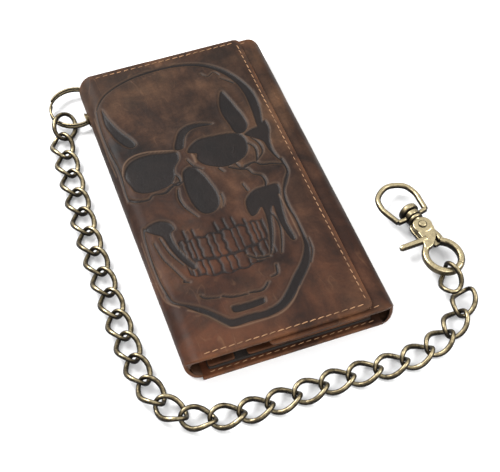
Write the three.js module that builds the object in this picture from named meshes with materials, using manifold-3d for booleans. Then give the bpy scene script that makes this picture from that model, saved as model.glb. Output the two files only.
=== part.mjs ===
// Long leather chain wallet: a folded wallet, a split ring through an eyelet in its
// left spine, a curb chain and a trigger snap hook on a swivel eye.
// Millimetres. Origin: centre of the back panel's underside. +Y runs along the wallet to
// the end that carries the ring, +X to the fold of the inner flap, +Z up.
import * as THREE from 'three'
import { mergeVertices } from 'three/addons/utils/BufferGeometryUtils.js'
import Module from 'manifold-3d'

const wasm = await Module()
wasm.setup()

// ---- Driving dimensions -------------------------------------------------------------
const WALLET_LENGTH = 190
const WALLET_WIDTH = 103
const CLOSED_HEIGHT = 15.4
const LEATHER = 2
const LINING = 1.2
const GAP = 0.3
const WIRE = 2.3
const LINK_HALF_LENGTH = 8
const LINK_HALF_WIDTH = 5.3
const LINK_TWIST = -45
const LINK_COUNT = 27
const LAST_LINK_PLACE = new THREE.Vector3(83.2, -85.3, 5.8)
const LAST_LINK_HEADING = 78
const LAST_LINK_ROLL = 38
const WELD_DISTANCE = 0.02

// ---- Wallet levels, from the table up ------------------------------------------------
const HALF_LENGTH = WALLET_LENGTH / 2
const COVER_Z = CLOSED_HEIGHT - LEATHER
const FLAP_Z = COVER_Z - GAP - LEATHER
const LEFT_RADIUS = CLOSED_HEIGHT / 2
const RIGHT_RADIUS = (FLAP_Z + LEATHER) / 2
const LEFT_FOLD_X = -WALLET_WIDTH / 2 + LEFT_RADIUS
const RIGHT_FOLD_X = WALLET_WIDTH / 2 - RIGHT_RADIUS
const COVER_EDGE_X = 40
const COVER_NEAR_Y = -HALF_LENGTH + 1.5
const FLAP_WIDTH = 56
const FLAP_TIP_X = RIGHT_FOLD_X - FLAP_WIDTH
const LINING_Z = LEATHER + GAP
const POCKET_Z = LINING_Z + LINING + GAP
const INNER_HALF_WIDTH = 40
const INNER_HALF_LENGTH = HALF_LENGTH - 3

// ---- Coin pocket and its zip ---------------------------------------------------------
const ZIP_X = -24
const ZIP_HALF_GAP = 0.25
const TEETH_WIDTH = 1.9
const TAPE_WIDTH = 7
const TAPE_THICKNESS = 0.6
const TEETH_HEIGHT = 1.4
const ZIP_HALF_LENGTH = 82
const STOP_LENGTH = 2.5
const SLIDER_LENGTH = 9
const SLIDER_Y = ZIP_HALF_LENGTH - 10

// ---- Ring, eyelet and hook places ----------------------------------------------------
const RING_CENTRE = new THREE.Vector3(-55.8, 85.6, 4.6)
const RING_RADIUS = 13
const RING_WIRE = 1.5
const EYELET_ANGLE = 24
const EYELET_HOLE = 3.2
const HOOK_PLACE = new THREE.Vector3(83.6, -52.8, 5.7)
const HOOK_TURN = 12

const metal = (color, roughness = 0.35) =>
  new THREE.MeshStandardMaterial({ color, roughness, metalness: 1 })
const leather = (color, roughness = 0.6) =>
  new THREE.MeshStandardMaterial({ color, roughness, metalness: 0 })
const BROWN = 0x5a3c2d
const DARK_BROWN = 0x3c2a20
const BRASS = 0x9a8a5c
const radians = THREE.MathUtils.degToRad

const wallet = new THREE.Group()

function place(name, geometry, material) {
  const mesh = new THREE.Mesh(geometry, material)
  mesh.name = name
  wallet.add(mesh)
  return mesh
}

// ---- Boolean helpers -----------------------------------------------------------------
function solid(geometry) {
  const bare = geometry.clone()
  bare.deleteAttribute('normal')
  bare.deleteAttribute('uv')
  const merged = mergeVertices(bare, 1e-4)
  return new wasm.Manifold(new wasm.Mesh({
    numProp: 3,
    vertProperties: new Float32Array(merged.attributes.position.array),
    triVerts: new Uint32Array(merged.index.array),
  }))
}

function geometryOf(manifold) {
  const mesh = manifold.getMesh()
  const geometry = new THREE.BufferGeometry()
  geometry.setAttribute('position', new THREE.BufferAttribute(mesh.vertProperties, 3))
  geometry.setIndex(new THREE.BufferAttribute(mesh.triVerts, 1))
  return geometry
}

// ---- Plain shapes --------------------------------------------------------------------
function slab(x0, x1, y0, y1, z0, z1) {
  const geometry = new THREE.BoxGeometry(x1 - x0, y1 - y0, z1 - z0)
  return geometry.translate((x0 + x1) / 2, (y0 + y1) / 2, (z0 + z1) / 2)
}

function panel(x0, x1, y0, y1, z0, thickness, radii) {
  // A sheet with rounded corners: radii in the order near-left, near-right, far-right, far-left.
  const [a, b, c, d] = radii
  const shape = new THREE.Shape()
  shape.moveTo(x0 + a, y0)
  shape.lineTo(x1 - b, y0)
  if (b) shape.absarc(x1 - b, y0 + b, b, -Math.PI / 2, 0)
  shape.lineTo(x1, y1 - c)
  if (c) shape.absarc(x1 - c, y1 - c, c, 0, Math.PI / 2)
  shape.lineTo(x0 + d, y1)
  if (d) shape.absarc(x0 + d, y1 - d, d, Math.PI / 2, Math.PI)
  shape.lineTo(x0, y0 + a)
  if (a) shape.absarc(x0 + a, y0 + a, a, Math.PI, 1.5 * Math.PI)
  const geometry = new THREE.ExtrudeGeometry(shape, {
    depth: thickness, bevelEnabled: false, curveSegments: 4,
  })
  return geometry.translate(0, 0, z0)
}

function spine(foldX, radius, side) {
  // Half of a tube: the leather that wraps from the back panel up to the sheet above it.
  const half = Math.PI / 2
  const shape = new THREE.Shape()
  shape.absarc(0, 0, radius, half, 3 * half, false)
  shape.absarc(0, 0, radius - LEATHER, 3 * half, half, true)
  const geometry = new THREE.ExtrudeGeometry(shape, {
    depth: WALLET_LENGTH, bevelEnabled: false, curveSegments: 10,
  })
  geometry.translate(0, 0, -HALF_LENGTH)
  geometry.rotateX(Math.PI / 2)
  if (side > 0) geometry.rotateZ(Math.PI)
  return geometry.translate(foldX + side * GAP, 0, radius)
}

function lathe(profile, segments = 16) {
  return new THREE.LatheGeometry(profile.map(([r, y]) => new THREE.Vector2(r, y)), segments)
}

function ringProfile(inner, outer, y0, y1) {
  return [[inner, y0], [outer, y0], [outer, y1], [inner, y1], [inner, y0]]
}

// ---- Wires ---------------------------------------------------------------------------
function wireSection(width, height, sides) {
  const shape = new THREE.Shape()
  for (let i = 0; i < sides; i++) {
    const angle = (2 * Math.PI * (i + 0.5)) / sides
    const x = (width / 2) * Math.cos(angle)
    const y = (height / 2) * Math.sin(angle)
    if (i === 0) shape.moveTo(x, y)
    else shape.lineTo(x, y)
  }
  shape.closePath()
  return shape
}

function wire(curve, width, height, steps, sides) {
  return new THREE.ExtrudeGeometry(wireSection(width, height, sides), {
    extrudePath: curve, steps, curveSegments: 1, bevelEnabled: false,
  })
}

function closedWire(points, width, height, steps, sides) {
  // A swept loop: the walls of the extrusion without its two lids, which meet each other.
  const curve = new THREE.CatmullRomCurve3(points, true)
  const swept = wire(curve, width, height, steps, sides)
  const walls = swept.groups[1]
  const all = swept.attributes.position.array
  const part = all.slice(walls.start * 3, (walls.start + walls.count) * 3)
  const geometry = new THREE.BufferGeometry()
  geometry.setAttribute('position', new THREE.BufferAttribute(part, 3))
  return weld(mergeVertices(geometry, 1e-4))
}

function weld(geometry) {
  // Joins the last section of a loop to the first, which it misses by a few thousandths.
  const position = geometry.attributes.position
  const points = []
  const kept = []
  for (let i = 0; i < position.count; i++) {
    const point = new THREE.Vector3().fromBufferAttribute(position, i)
    let match = points.findIndex((other) => other.distanceTo(point) < WELD_DISTANCE)
    if (match < 0) match = points.push(point) - 1
    kept.push(match)
  }
  const welded = new THREE.BufferGeometry().setFromPoints(points)
  welded.setIndex(Array.from(geometry.index.array, (i) => kept[i]))
  return welded
}

// ---- Chain links ---------------------------------------------------------------------
function linkPoints(halfLength, halfWidth, nearTwist, farTwist) {
  // An oval whose plane turns about its long axis from one end to the other.
  const points = []
  const COUNT = 20
  for (let i = 0; i < COUNT; i++) {
    const t = (2 * Math.PI * i) / COUNT
    const share = (1 + Math.cos(t)) / 2
    const twist = radians(nearTwist + (farTwist - nearTwist) * share)
    const side = halfWidth * Math.sin(t)
    points.push(new THREE.Vector3(
      halfLength * Math.cos(t), side * Math.cos(twist), side * Math.sin(twist)))
  }
  return points
}

function link(name, halfLength, halfWidth, nearTwist, farTwist, centre, heading) {
  const points = linkPoints(halfLength, halfWidth, nearTwist, farTwist)
  const geometry = closedWire(points, WIRE, WIRE, 20, 6)
  const mesh = place(name, geometry, metal(BRASS))
  mesh.position.copy(centre)
  mesh.rotation.z = heading
  return mesh
}

// The run of the chain on the table, from the ring round the wallet to the hook.
const CHAIN_Z = 3.3
const CHAIN_ROUTE = [
  [-68.8, 62.2], [-70.4, 34], [-71.8, 0], [-71.9, -36], [-71.3, -70], [-69.4, -89],
  [-64.4, -103.5], [-53.5, -113.8], [-38, -118], [-20, -118.6], [15, -117.6], [42, -118.4], [60, -116],
  [75, -108], [84.4, -98.2],
]
const chainCurve = new THREE.CatmullRomCurve3(
  CHAIN_ROUTE.map(([x, y]) => new THREE.Vector3(x, y, CHAIN_Z)), false, 'centripetal')

const ROUTE_LINKS = LINK_COUNT - 1
const linkCentres = []
for (let i = 0; i < ROUTE_LINKS; i++) {
  linkCentres.push(chainCurve.getPointAt(i / (ROUTE_LINKS - 1)))
}

function headingAt(index) {
  const before = linkCentres[Math.max(index - 1, 0)]
  const after = linkCentres[Math.min(index + 1, ROUTE_LINKS - 1)]
  return Math.atan2(after.y - before.y, after.x - before.x)
}

const linkName = (number) => `chain_link_${String(number).padStart(2, '0')}`

function chain() {
  linkCentres.forEach((centre, i) => {
    link(linkName(i + 1), LINK_HALF_LENGTH, LINK_HALF_WIDTH, -LINK_TWIST, LINK_TWIST,
      centre, headingAt(i))
  })
  // The last link leans on its side, so that it goes round the gate's arm.
  link(linkName(LINK_COUNT), LINK_HALF_LENGTH, LINK_HALF_WIDTH, -LINK_TWIST - LAST_LINK_ROLL,
    LINK_TWIST - LAST_LINK_ROLL, LAST_LINK_PLACE, radians(LAST_LINK_HEADING))
}

// ---- Ring end ------------------------------------------------------------------------
function splitRing() {
  // Two turns of wire, one on top of the other.
  const TURNS = 2
  const START = radians(148)
  const RISE = RING_WIRE + 0.35
  class Helix extends THREE.Curve {
    getPoint(t, target = new THREE.Vector3()) {
      const angle = START + 2 * Math.PI * TURNS * t
      return target.set(
        RING_RADIUS * Math.cos(angle), RING_RADIUS * Math.sin(angle), RISE * TURNS * (t - 0.5))
    }
  }
  const mesh = place('split_ring', wire(new Helix(), RING_WIRE, RING_WIRE, 48, 6), metal(BRASS))
  mesh.position.copy(RING_CENTRE)
}

function jumpLink() {
  // A rounder oval, untwisted, that leans across the ring's wire.
  const centre = new THREE.Vector3(-64.2, 74, 4.8)
  link('jump_link', 8, 6, -37, -37, centre, radians(-123))
}

const eyeletAxis = new THREE.Vector3(
  -Math.cos(radians(EYELET_ANGLE)), 0, -Math.sin(radians(EYELET_ANGLE)))
const eyeletFoot = new THREE.Vector3(LEFT_FOLD_X, RING_CENTRE.y - 11.5, LEFT_RADIUS)

function alongEyelet(geometry) {
  // Turns a lathe's own Y axis to the eyelet's axis and puts its zero on the fold's centre line.
  const turn = new THREE.Quaternion().setFromUnitVectors(new THREE.Vector3(0, 1, 0), eyeletAxis)
  geometry.applyQuaternion(turn)
  return geometry.translate(eyeletFoot.x, eyeletFoot.y, eyeletFoot.z)
}

function eyelet() {
  const BARREL = 0.5
  const FLANGE = 0.8
  const inside = LEFT_RADIUS - LEATHER
  const outside = LEFT_RADIUS + GAP
  const outer = EYELET_HOLE + BARREL
  const geometry = lathe([
    [EYELET_HOLE, inside], [outer, inside], [outer, outside], [outer + FLANGE, outside],
    [outer + FLANGE, outside + BARREL], [EYELET_HOLE, outside + BARREL], [EYELET_HOLE, inside],
  ], 18)
  place('eyelet', alongEyelet(geometry), metal(BRASS))
}

// ---- Folded leather ------------------------------------------------------------------
function backPanel() {
  const x0 = LEFT_FOLD_X + GAP
  const x1 = RIGHT_FOLD_X - GAP
  const sheet = panel(x0, x1, -HALF_LENGTH, HALF_LENGTH, 0, LEATHER, [0, 0, 0, 0])
  place('back_panel', sheet, leather(BROWN))
}

function leftSpine() {
  const tube = spine(LEFT_FOLD_X, LEFT_RADIUS, -1)
  const hole = alongEyelet(new THREE.CylinderGeometry(
    EYELET_HOLE + 0.8, EYELET_HOLE + 0.8, 8, 18).translate(0, LEFT_RADIUS, 0))
  place('left_spine', geometryOf(solid(tube).subtract(solid(hole))), leather(BROWN))
}

function rightSpine() {
  place('right_spine', spine(RIGHT_FOLD_X, RIGHT_RADIUS, 1), leather(BROWN))
}

function frontCover() {
  const sheet = panel(LEFT_FOLD_X + GAP, COVER_EDGE_X, COVER_NEAR_Y, HALF_LENGTH, COVER_Z,
    LEATHER, [0, 1.5, 3, 0])
  place('front_cover', sheet, leather(BROWN))
}

function coverPocket() {
  const sheet = panel(LEFT_FOLD_X + 2, FLAP_TIP_X - 2, -HALF_LENGTH + 4, HALF_LENGTH - 4,
    COVER_Z - GAP - LINING, LINING, [1, 1, 1, 1])
  place('cover_pocket', sheet, leather(DARK_BROWN))
}

function innerFlap() {
  const sheet = panel(FLAP_TIP_X, RIGHT_FOLD_X - GAP, -HALF_LENGTH + 0.8, HALF_LENGTH - 0.8,
    FLAP_Z, LEATHER, [2, 0, 0, 2])
  place('inner_flap', sheet, leather(BROWN))
}

// ---- Pockets on the back panel -------------------------------------------------------
function notePocket() {
  place('note_pocket_lining', slab(-INNER_HALF_WIDTH, INNER_HALF_WIDTH, -INNER_HALF_LENGTH,
    INNER_HALF_LENGTH, LINING_Z, LINING_Z + LINING), leather(DARK_BROWN, 0.9))
}

function coinPocket() {
  const edge = ZIP_HALF_GAP + TEETH_WIDTH + 1
  const top = POCKET_Z + TAPE_THICKNESS + GAP
  for (const [name, x0, x1] of [
    ['coin_pocket_edge', -INNER_HALF_WIDTH, ZIP_X - edge],
    ['coin_pocket_panel', ZIP_X + edge, INNER_HALF_WIDTH],
  ]) {
    place(name, panel(x0, x1, -INNER_HALF_LENGTH, INNER_HALF_LENGTH, top, LINING,
      [1, 1, 1, 1]), leather(BROWN))
  }
}

function zip() {
  const y0 = -ZIP_HALF_LENGTH
  for (const [name, side] of [['left', -1], ['right', 1]]) {
    const near = ZIP_X + side * ZIP_HALF_GAP
    const tape = [near, near + side * TAPE_WIDTH].sort((a, b) => a - b)
    place(`zip_tape_${name}`, slab(tape[0], tape[1], y0 - STOP_LENGTH, -y0 + STOP_LENGTH,
      POCKET_Z, POCKET_Z + TAPE_THICKNESS), leather(DARK_BROWN, 0.9))
    const row = [near, near + side * TEETH_WIDTH].sort((a, b) => a - b)
    const bottom = POCKET_Z + TAPE_THICKNESS + GAP
    place(`zip_teeth_${name}`, slab(row[0], row[1], y0 + STOP_LENGTH, -y0 - STOP_LENGTH,
      bottom, bottom + TEETH_HEIGHT), metal(BRASS))
  }
  const half = ZIP_HALF_GAP + TEETH_WIDTH
  for (const [name, start] of [['near', y0], ['far', -y0 - STOP_LENGTH + GAP]]) {
    const bottom = POCKET_Z + TAPE_THICKNESS + GAP
    place(`zip_stop_${name}`, slab(ZIP_X - half, ZIP_X + half, start,
      start + STOP_LENGTH - GAP, bottom, bottom + TEETH_HEIGHT), metal(BRASS))
  }
}

const SLIDER_Z = POCKET_Z + TAPE_THICKNESS + TEETH_HEIGHT + 2 * GAP
const SLIDER_PLATE = 1
const PULLER_Z = SLIDER_Z + SLIDER_PLATE + GAP

function zipSlider() {
  // Top plate with a bridge; the puller's crossbar lies under the bridge.
  const HALF_WIDTH = 3.2
  const POST_HALF = 0.9
  const POST_DEPTH = 1.4
  const POST_Y = 2.2
  const BRIDGE_TOP = 3.2
  const BRIDGE_BOTTOM = 2.2
  const bridgeHalf = POST_Y + POST_DEPTH / 2
  const plate = slab(-HALF_WIDTH, HALF_WIDTH, -SLIDER_LENGTH / 2, SLIDER_LENGTH / 2, 0, SLIDER_PLATE)
  const post = (y) => slab(-POST_HALF, POST_HALF, y - POST_DEPTH / 2, y + POST_DEPTH / 2,
    SLIDER_PLATE / 2, BRIDGE_TOP)
  const bridge = slab(-POST_HALF, POST_HALF, -bridgeHalf, bridgeHalf, BRIDGE_BOTTOM, BRIDGE_TOP)
  const body = solid(plate).add(solid(post(-POST_Y))).add(solid(post(POST_Y))).add(solid(bridge))
  const mesh = place('zip_slider', geometryOf(body), metal(BRASS))
  mesh.position.set(ZIP_X, SLIDER_Y, SLIDER_Z)
}

function zipPuller() {
  // A tongue with a round free end and a window that the slider's post stands in.
  const THICKNESS = 0.6
  const HEAD_HALF = 2.6
  const HEAD_REACH = 0.6
  const TIP_RADIUS = 3
  const TIP_Y = -20
  const WINDOW_HALF = 1.5
  const WINDOW_NEAR = -4
  const WINDOW_FAR = -0.4
  const outline = new THREE.Shape()
  outline.moveTo(-HEAD_HALF, HEAD_REACH)
  outline.lineTo(-TIP_RADIUS, TIP_Y)
  outline.absarc(0, TIP_Y, TIP_RADIUS, Math.PI, 2 * Math.PI)
  outline.lineTo(HEAD_HALF, HEAD_REACH)
  outline.closePath()
  const opening = new THREE.Path()
  opening.moveTo(-WINDOW_HALF, WINDOW_FAR)
  opening.lineTo(WINDOW_HALF, WINDOW_FAR)
  opening.lineTo(WINDOW_HALF, WINDOW_NEAR)
  opening.lineTo(-WINDOW_HALF, WINDOW_NEAR)
  opening.closePath()
  outline.holes.push(opening)
  const geometry = new THREE.ExtrudeGeometry(outline, {
    depth: THICKNESS, bevelEnabled: false, curveSegments: 5,
  })
  const mesh = place('zip_puller', geometry, metal(BRASS))
  mesh.position.set(ZIP_X, SLIDER_Y, PULLER_Z)
}

function cardPockets() {
  const base = POCKET_Z + TAPE_THICKNESS + GAP + LINING + GAP
  const STEP = 12
  const SLOTS = 3
  const SHEET = 0.9
  for (let i = 0; i < SLOTS; i++) {
    const z = base + i * (SHEET + GAP)
    place(`card_pocket_${i + 1}`, panel(-12 + i * STEP, INNER_HALF_WIDTH, -INNER_HALF_LENGTH + 4,
      INNER_HALF_LENGTH - 4, z, SHEET, [1, 1, 1, 1]), leather(BROWN))
  }
}

// ---- Snap hook, in its own frame: origin on the rivet, +Y to the swivel eye -------------
const ARM_WIDTH = 3.6
const ARM_HEIGHT = 4.4
const LOOP_CENTRE = [-2, -19.7]
const LOOP_RADII = [8.2, 9.4]
const HEAD_RADIUS = 4.8
const PLATE_LOW = -3
const PLATE_HIGH = -0.9
const RIVET_HOLE = 1.3

function placeHook(name, geometry, material = metal(BRASS)) {
  const mesh = place(name, geometry, material)
  mesh.position.copy(HOOK_PLACE)
  mesh.rotation.z = radians(HOOK_TURN)
  return mesh
}

function loopArc(fromDegrees, toDegrees) {
  const points = []
  const COUNT = 9
  for (let i = 0; i < COUNT; i++) {
    const angle = radians(fromDegrees + ((toDegrees - fromDegrees) * i) / (COUNT - 1))
    points.push(new THREE.Vector3(LOOP_CENTRE[0] + LOOP_RADII[0] * Math.cos(angle),
      LOOP_CENTRE[1] + LOOP_RADII[1] * Math.sin(angle), 0))
  }
  return wire(new THREE.CatmullRomCurve3(points), ARM_WIDTH, ARM_HEIGHT, 14, 8)
}

function disc(radius, z0, z1, segments = 20) {
  const geometry = new THREE.CylinderGeometry(radius, radius, z1 - z0, segments)
  return geometry.rotateX(Math.PI / 2).translate(0, 0, (z0 + z1) / 2)
}

function outlineSlab(points, z0, z1) {
  const shape = new THREE.Shape(points.map(([x, y]) => new THREE.Vector2(x, y)))
  const geometry = new THREE.ExtrudeGeometry(shape, { depth: z1 - z0, bevelEnabled: false })
  return geometry.translate(0, 0, z0)
}

const COLLAR_Y = 4.6
const BAR_Y = 8
const BAR_HALF = 1.3
const PIN_RADIUS = 1.5

function fixedJaw() {
  const plate = outlineSlab([[-4.4, 4], [4.4, 4], [4.6, -2], [4.6, -11.5], [-1, -11.5],
    [-1.5, -7], [-4.6, -6.5]], PLATE_LOW, PLATE_HIGH)
  const neck = lathe([[0, 2.5], [2.6, 2.5], [3, COLLAR_Y], [4, COLLAR_Y],
    [4, BAR_Y - BAR_HALF - GAP], [0, BAR_Y - BAR_HALF - GAP]], 16)
  const body = solid(plate).add(solid(loopArc(57, -54))).add(solid(neck))
    .subtract(solid(disc(RIVET_HOLE, -5, 5))).subtract(solid(disc(HEAD_RADIUS + 0.7, -0.8, 6)))
  placeHook('hook_body', geometryOf(body))
}

function gate() {
  const head = disc(HEAD_RADIUS, 0, 2.6, 24)
  const web = outlineSlab([[-4.2, -2], [4.2, -2], [3.2, -6], [1.2, -9.2], [-1.6, -11.8],
    [-7, -12.6], [-5, -7.5]], -0.4, 2.2)
  const lever = wire(new THREE.CatmullRomCurve3([new THREE.Vector3(-3, -7.6, 0.9),
    new THREE.Vector3(-7, -7, 0.6), new THREE.Vector3(-11.5, -6.1, 0.2),
    new THREE.Vector3(-16.5, -5.2, 0)]), 3, 4, 6, 8)
  const recess = disc(3.5, -2, 0.7)
  const body = solid(head).add(solid(web)).add(solid(loopArc(122, 298))).add(solid(lever))
    .subtract(solid(disc(RIVET_HOLE, -5, 5))).subtract(solid(recess))
  placeHook('gate', geometryOf(body))
}

function rivetAndSpring() {
  const rivet = lathe([[0, -3.9], [2, -3.9], [2, -3.3], [1, -3.3], [1, 2.9], [2, 2.9],
    [1.5, 3.5], [0, 3.6]], 14)
  placeHook('gate_rivet', rivet.rotateX(Math.PI / 2))
  const spring = lathe(ringProfile(1.7, 3.1, -0.5, 0.4), 14)
  placeHook('gate_spring', spring.rotateX(Math.PI / 2))
}

function swivel() {
  const top = BAR_Y + BAR_HALF + GAP
  placeHook('swivel_post', lathe([[0, BAR_Y - BAR_HALF], [PIN_RADIUS, BAR_Y - BAR_HALF],
    [PIN_RADIUS, top], [5, top], [5, top + 2.4], [4.2, top + 3.3], [0, top + 3.6]], 16))
  const WIDE = 10
  const loop = closedWire([[-8.2, 8], [-9.3, 14], [-WIDE, 20], [-7.6, 26.5], [0, 30],
    [7.6, 26.5], [WIDE, 20], [9.3, 14], [8.2, 8], [4, 7.7], [-4, 7.7]]
    .map(([x, y]) => new THREE.Vector3(x, y, 0)), 3, 3, 26, 6)
  const boss = new THREE.CylinderGeometry(4.2, 4.2, 2 * BAR_HALF, 16).translate(0, BAR_Y, 0)
  const bore = new THREE.CylinderGeometry(PIN_RADIUS + GAP, PIN_RADIUS + GAP, 8, 16)
    .translate(0, BAR_Y, 0)
  const shaved = new THREE.BoxGeometry(12, 6, 10)
  const body = solid(loop)
    .subtract(solid(shaved.clone().translate(0, BAR_Y + BAR_HALF + 3, 0)))
    .subtract(solid(shaved.clone().translate(0, BAR_Y - BAR_HALF - 3, 0)))
    .add(solid(boss)).subtract(solid(bore))
  placeHook('swivel_eye', geometryOf(body))
}

backPanel()
leftSpine()
rightSpine()
frontCover()
coverPocket()
innerFlap()
notePocket()
coinPocket()
zip()
zipSlider()
zipPuller()
cardPockets()
eyelet()
splitRing()
jumpLink()
chain()
fixedJaw()
gate()
rivetAndSpring()
swivel()

export default wallet
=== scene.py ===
# The looks of a long leather chain wallet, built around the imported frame. Metres, +Z up.
import math

import bmesh
import bpy
import numpy as np
from mathutils import Matrix, Vector


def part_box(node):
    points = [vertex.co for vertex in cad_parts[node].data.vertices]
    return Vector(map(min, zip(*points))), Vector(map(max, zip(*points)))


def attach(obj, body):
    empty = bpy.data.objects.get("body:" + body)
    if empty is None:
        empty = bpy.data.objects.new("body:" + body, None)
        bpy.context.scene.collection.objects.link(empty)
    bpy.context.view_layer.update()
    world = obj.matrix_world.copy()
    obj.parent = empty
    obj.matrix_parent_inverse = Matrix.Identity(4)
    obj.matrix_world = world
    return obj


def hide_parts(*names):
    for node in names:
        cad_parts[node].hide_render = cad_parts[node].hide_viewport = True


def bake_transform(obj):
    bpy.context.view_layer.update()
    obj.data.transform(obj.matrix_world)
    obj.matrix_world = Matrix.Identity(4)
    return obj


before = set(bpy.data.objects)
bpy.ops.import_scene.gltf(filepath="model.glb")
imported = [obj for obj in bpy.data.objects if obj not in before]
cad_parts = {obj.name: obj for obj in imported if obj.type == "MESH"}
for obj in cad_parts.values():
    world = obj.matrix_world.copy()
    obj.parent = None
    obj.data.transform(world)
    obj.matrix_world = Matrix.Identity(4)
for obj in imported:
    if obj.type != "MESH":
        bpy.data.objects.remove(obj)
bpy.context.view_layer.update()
MM = 0.001


def box_mm(node):
    """The low and high corners of a node's box, in mm."""
    return tuple(Vector(corner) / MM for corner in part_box(node))


# ---- Sizes taken from the frame, in mm -------------------------------------------------
COVER_LOW, COVER_HIGH = box_mm("front_cover")
SPINE_HIGH = box_mm("left_spine")[1]
FLAP_LOW, FLAP_HIGH = box_mm("inner_flap")
RIGHT_LOW, RIGHT_HIGH = box_mm("right_spine")
LEATHER = COVER_HIGH.z - COVER_LOW.z
FOLD_X = COVER_LOW.x
FOLD_RADIUS = SPINE_HIGH.z / 2
LEFT_FOLD_CENTRE = SPINE_HIGH.x
RIGHT_FOLD_X = FLAP_HIGH.x
RIGHT_RADIUS = RIGHT_HIGH.z / 2

# ---- Camera ------------------------------------------------------------------------------
LENS = 87.048
SENSOR_WIDTH = 36
CAMERA_AZIMUTH = -18.99
CAMERA_ELEVATION = 52.49
CAMERA_ROLL = -0.95
CAMERA_DISTANCE = 0.5979
CAMERA_TARGET = Vector((0.004, -0.0246, 0))


def camera():
    azimuth = math.radians(CAMERA_AZIMUTH)
    elevation = math.radians(CAMERA_ELEVATION)
    roll = math.radians(CAMERA_ROLL)
    forward = Vector((-math.sin(azimuth) * math.cos(elevation),
                      math.cos(azimuth) * math.cos(elevation), -math.sin(elevation)))
    level = Vector((math.cos(azimuth), math.sin(azimuth), 0))
    above = level.cross(forward)
    right = level * math.cos(roll) + above * math.sin(roll)
    up = above * math.cos(roll) - level * math.sin(roll)
    data = bpy.data.cameras.new("camera")
    data.sensor_width = SENSOR_WIDTH
    data.lens = LENS
    data.clip_start = 0.01
    thing = bpy.data.objects.new("camera", data)
    place = CAMERA_TARGET - forward * CAMERA_DISTANCE
    thing.matrix_world = Matrix((
        (right.x, up.x, -forward.x, place.x), (right.y, up.y, -forward.y, place.y),
        (right.z, up.z, -forward.z, place.z), (0, 0, 0, 1)))
    bpy.context.collection.objects.link(thing)
    bpy.context.scene.camera = thing


# ---- Floor and light -----------------------------------------------------------------------
def area_light(name, place, target, size, power, colour=(1, 1, 1)):
    data = bpy.data.lights.new(name, "AREA")
    data.shape = "RECTANGLE"
    data.size, data.size_y = size
    data.energy = power
    data.color = colour
    thing = bpy.data.objects.new(name, data)
    thing.location = place
    direction = Vector(target) - Vector(place)
    thing.rotation_euler = direction.to_track_quat("-Z", "Y").to_euler()
    bpy.context.collection.objects.link(thing)


def studio():
    world = bpy.data.worlds.new("studio")
    world.use_nodes = True
    background = world.node_tree.nodes["Background"]
    nodes, links = world.node_tree.nodes, world.node_tree.links
    direction = nodes.new("ShaderNodeTexCoord")
    split = nodes.new("ShaderNodeSeparateXYZ")
    links.new(direction.outputs["Generated"], split.inputs[0])
    ramp = nodes.new("ShaderNodeValToRGB")
    ramp.color_ramp.elements[0].position = 0.05
    ramp.color_ramp.elements[0].color = (0.2, 0.2, 0.2, 1)
    ramp.color_ramp.elements[1].position = 0.75
    ramp.color_ramp.elements[1].color = (1, 1, 1, 1)
    links.new(split.outputs["Z"], ramp.inputs["Fac"])
    links.new(ramp.outputs["Color"], background.inputs["Color"])
    background.inputs["Strength"].default_value = 0.85
    bpy.context.scene.world = world
    area_light("key", (-0.35, 0.45, 0.6), (0, 0, 0), (0.5, 0.35), 7)
    area_light("fill", (0.55, -0.25, 0.5), (0, -0.05, 0), (0.4, 0.4), 3.2)
    area_light("front", (-0.2, -0.7, 0.45), (0, -0.1, 0), (0.6, 0.3), 3)
    bpy.context.scene.view_settings.view_transform = "Standard"


def floor():
    mesh = bpy.data.meshes.new("floor")
    half = 3
    mesh.from_pydata([(-half, -half, 0), (half, -half, 0), (half, half, 0), (-half, half, 0)],
                     [], [(0, 1, 2, 3)])
    thing = bpy.data.objects.new("floor", mesh)
    bpy.context.collection.objects.link(thing)
    material = bpy.data.materials.new("floor")
    material.use_nodes = True
    shader = material.node_tree.nodes["Principled BSDF"]
    shader.inputs["Base Color"].default_value = (0.93, 0.93, 0.93, 1)
    shader.inputs["Roughness"].default_value = 0.8
    mesh.materials.append(material)


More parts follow.
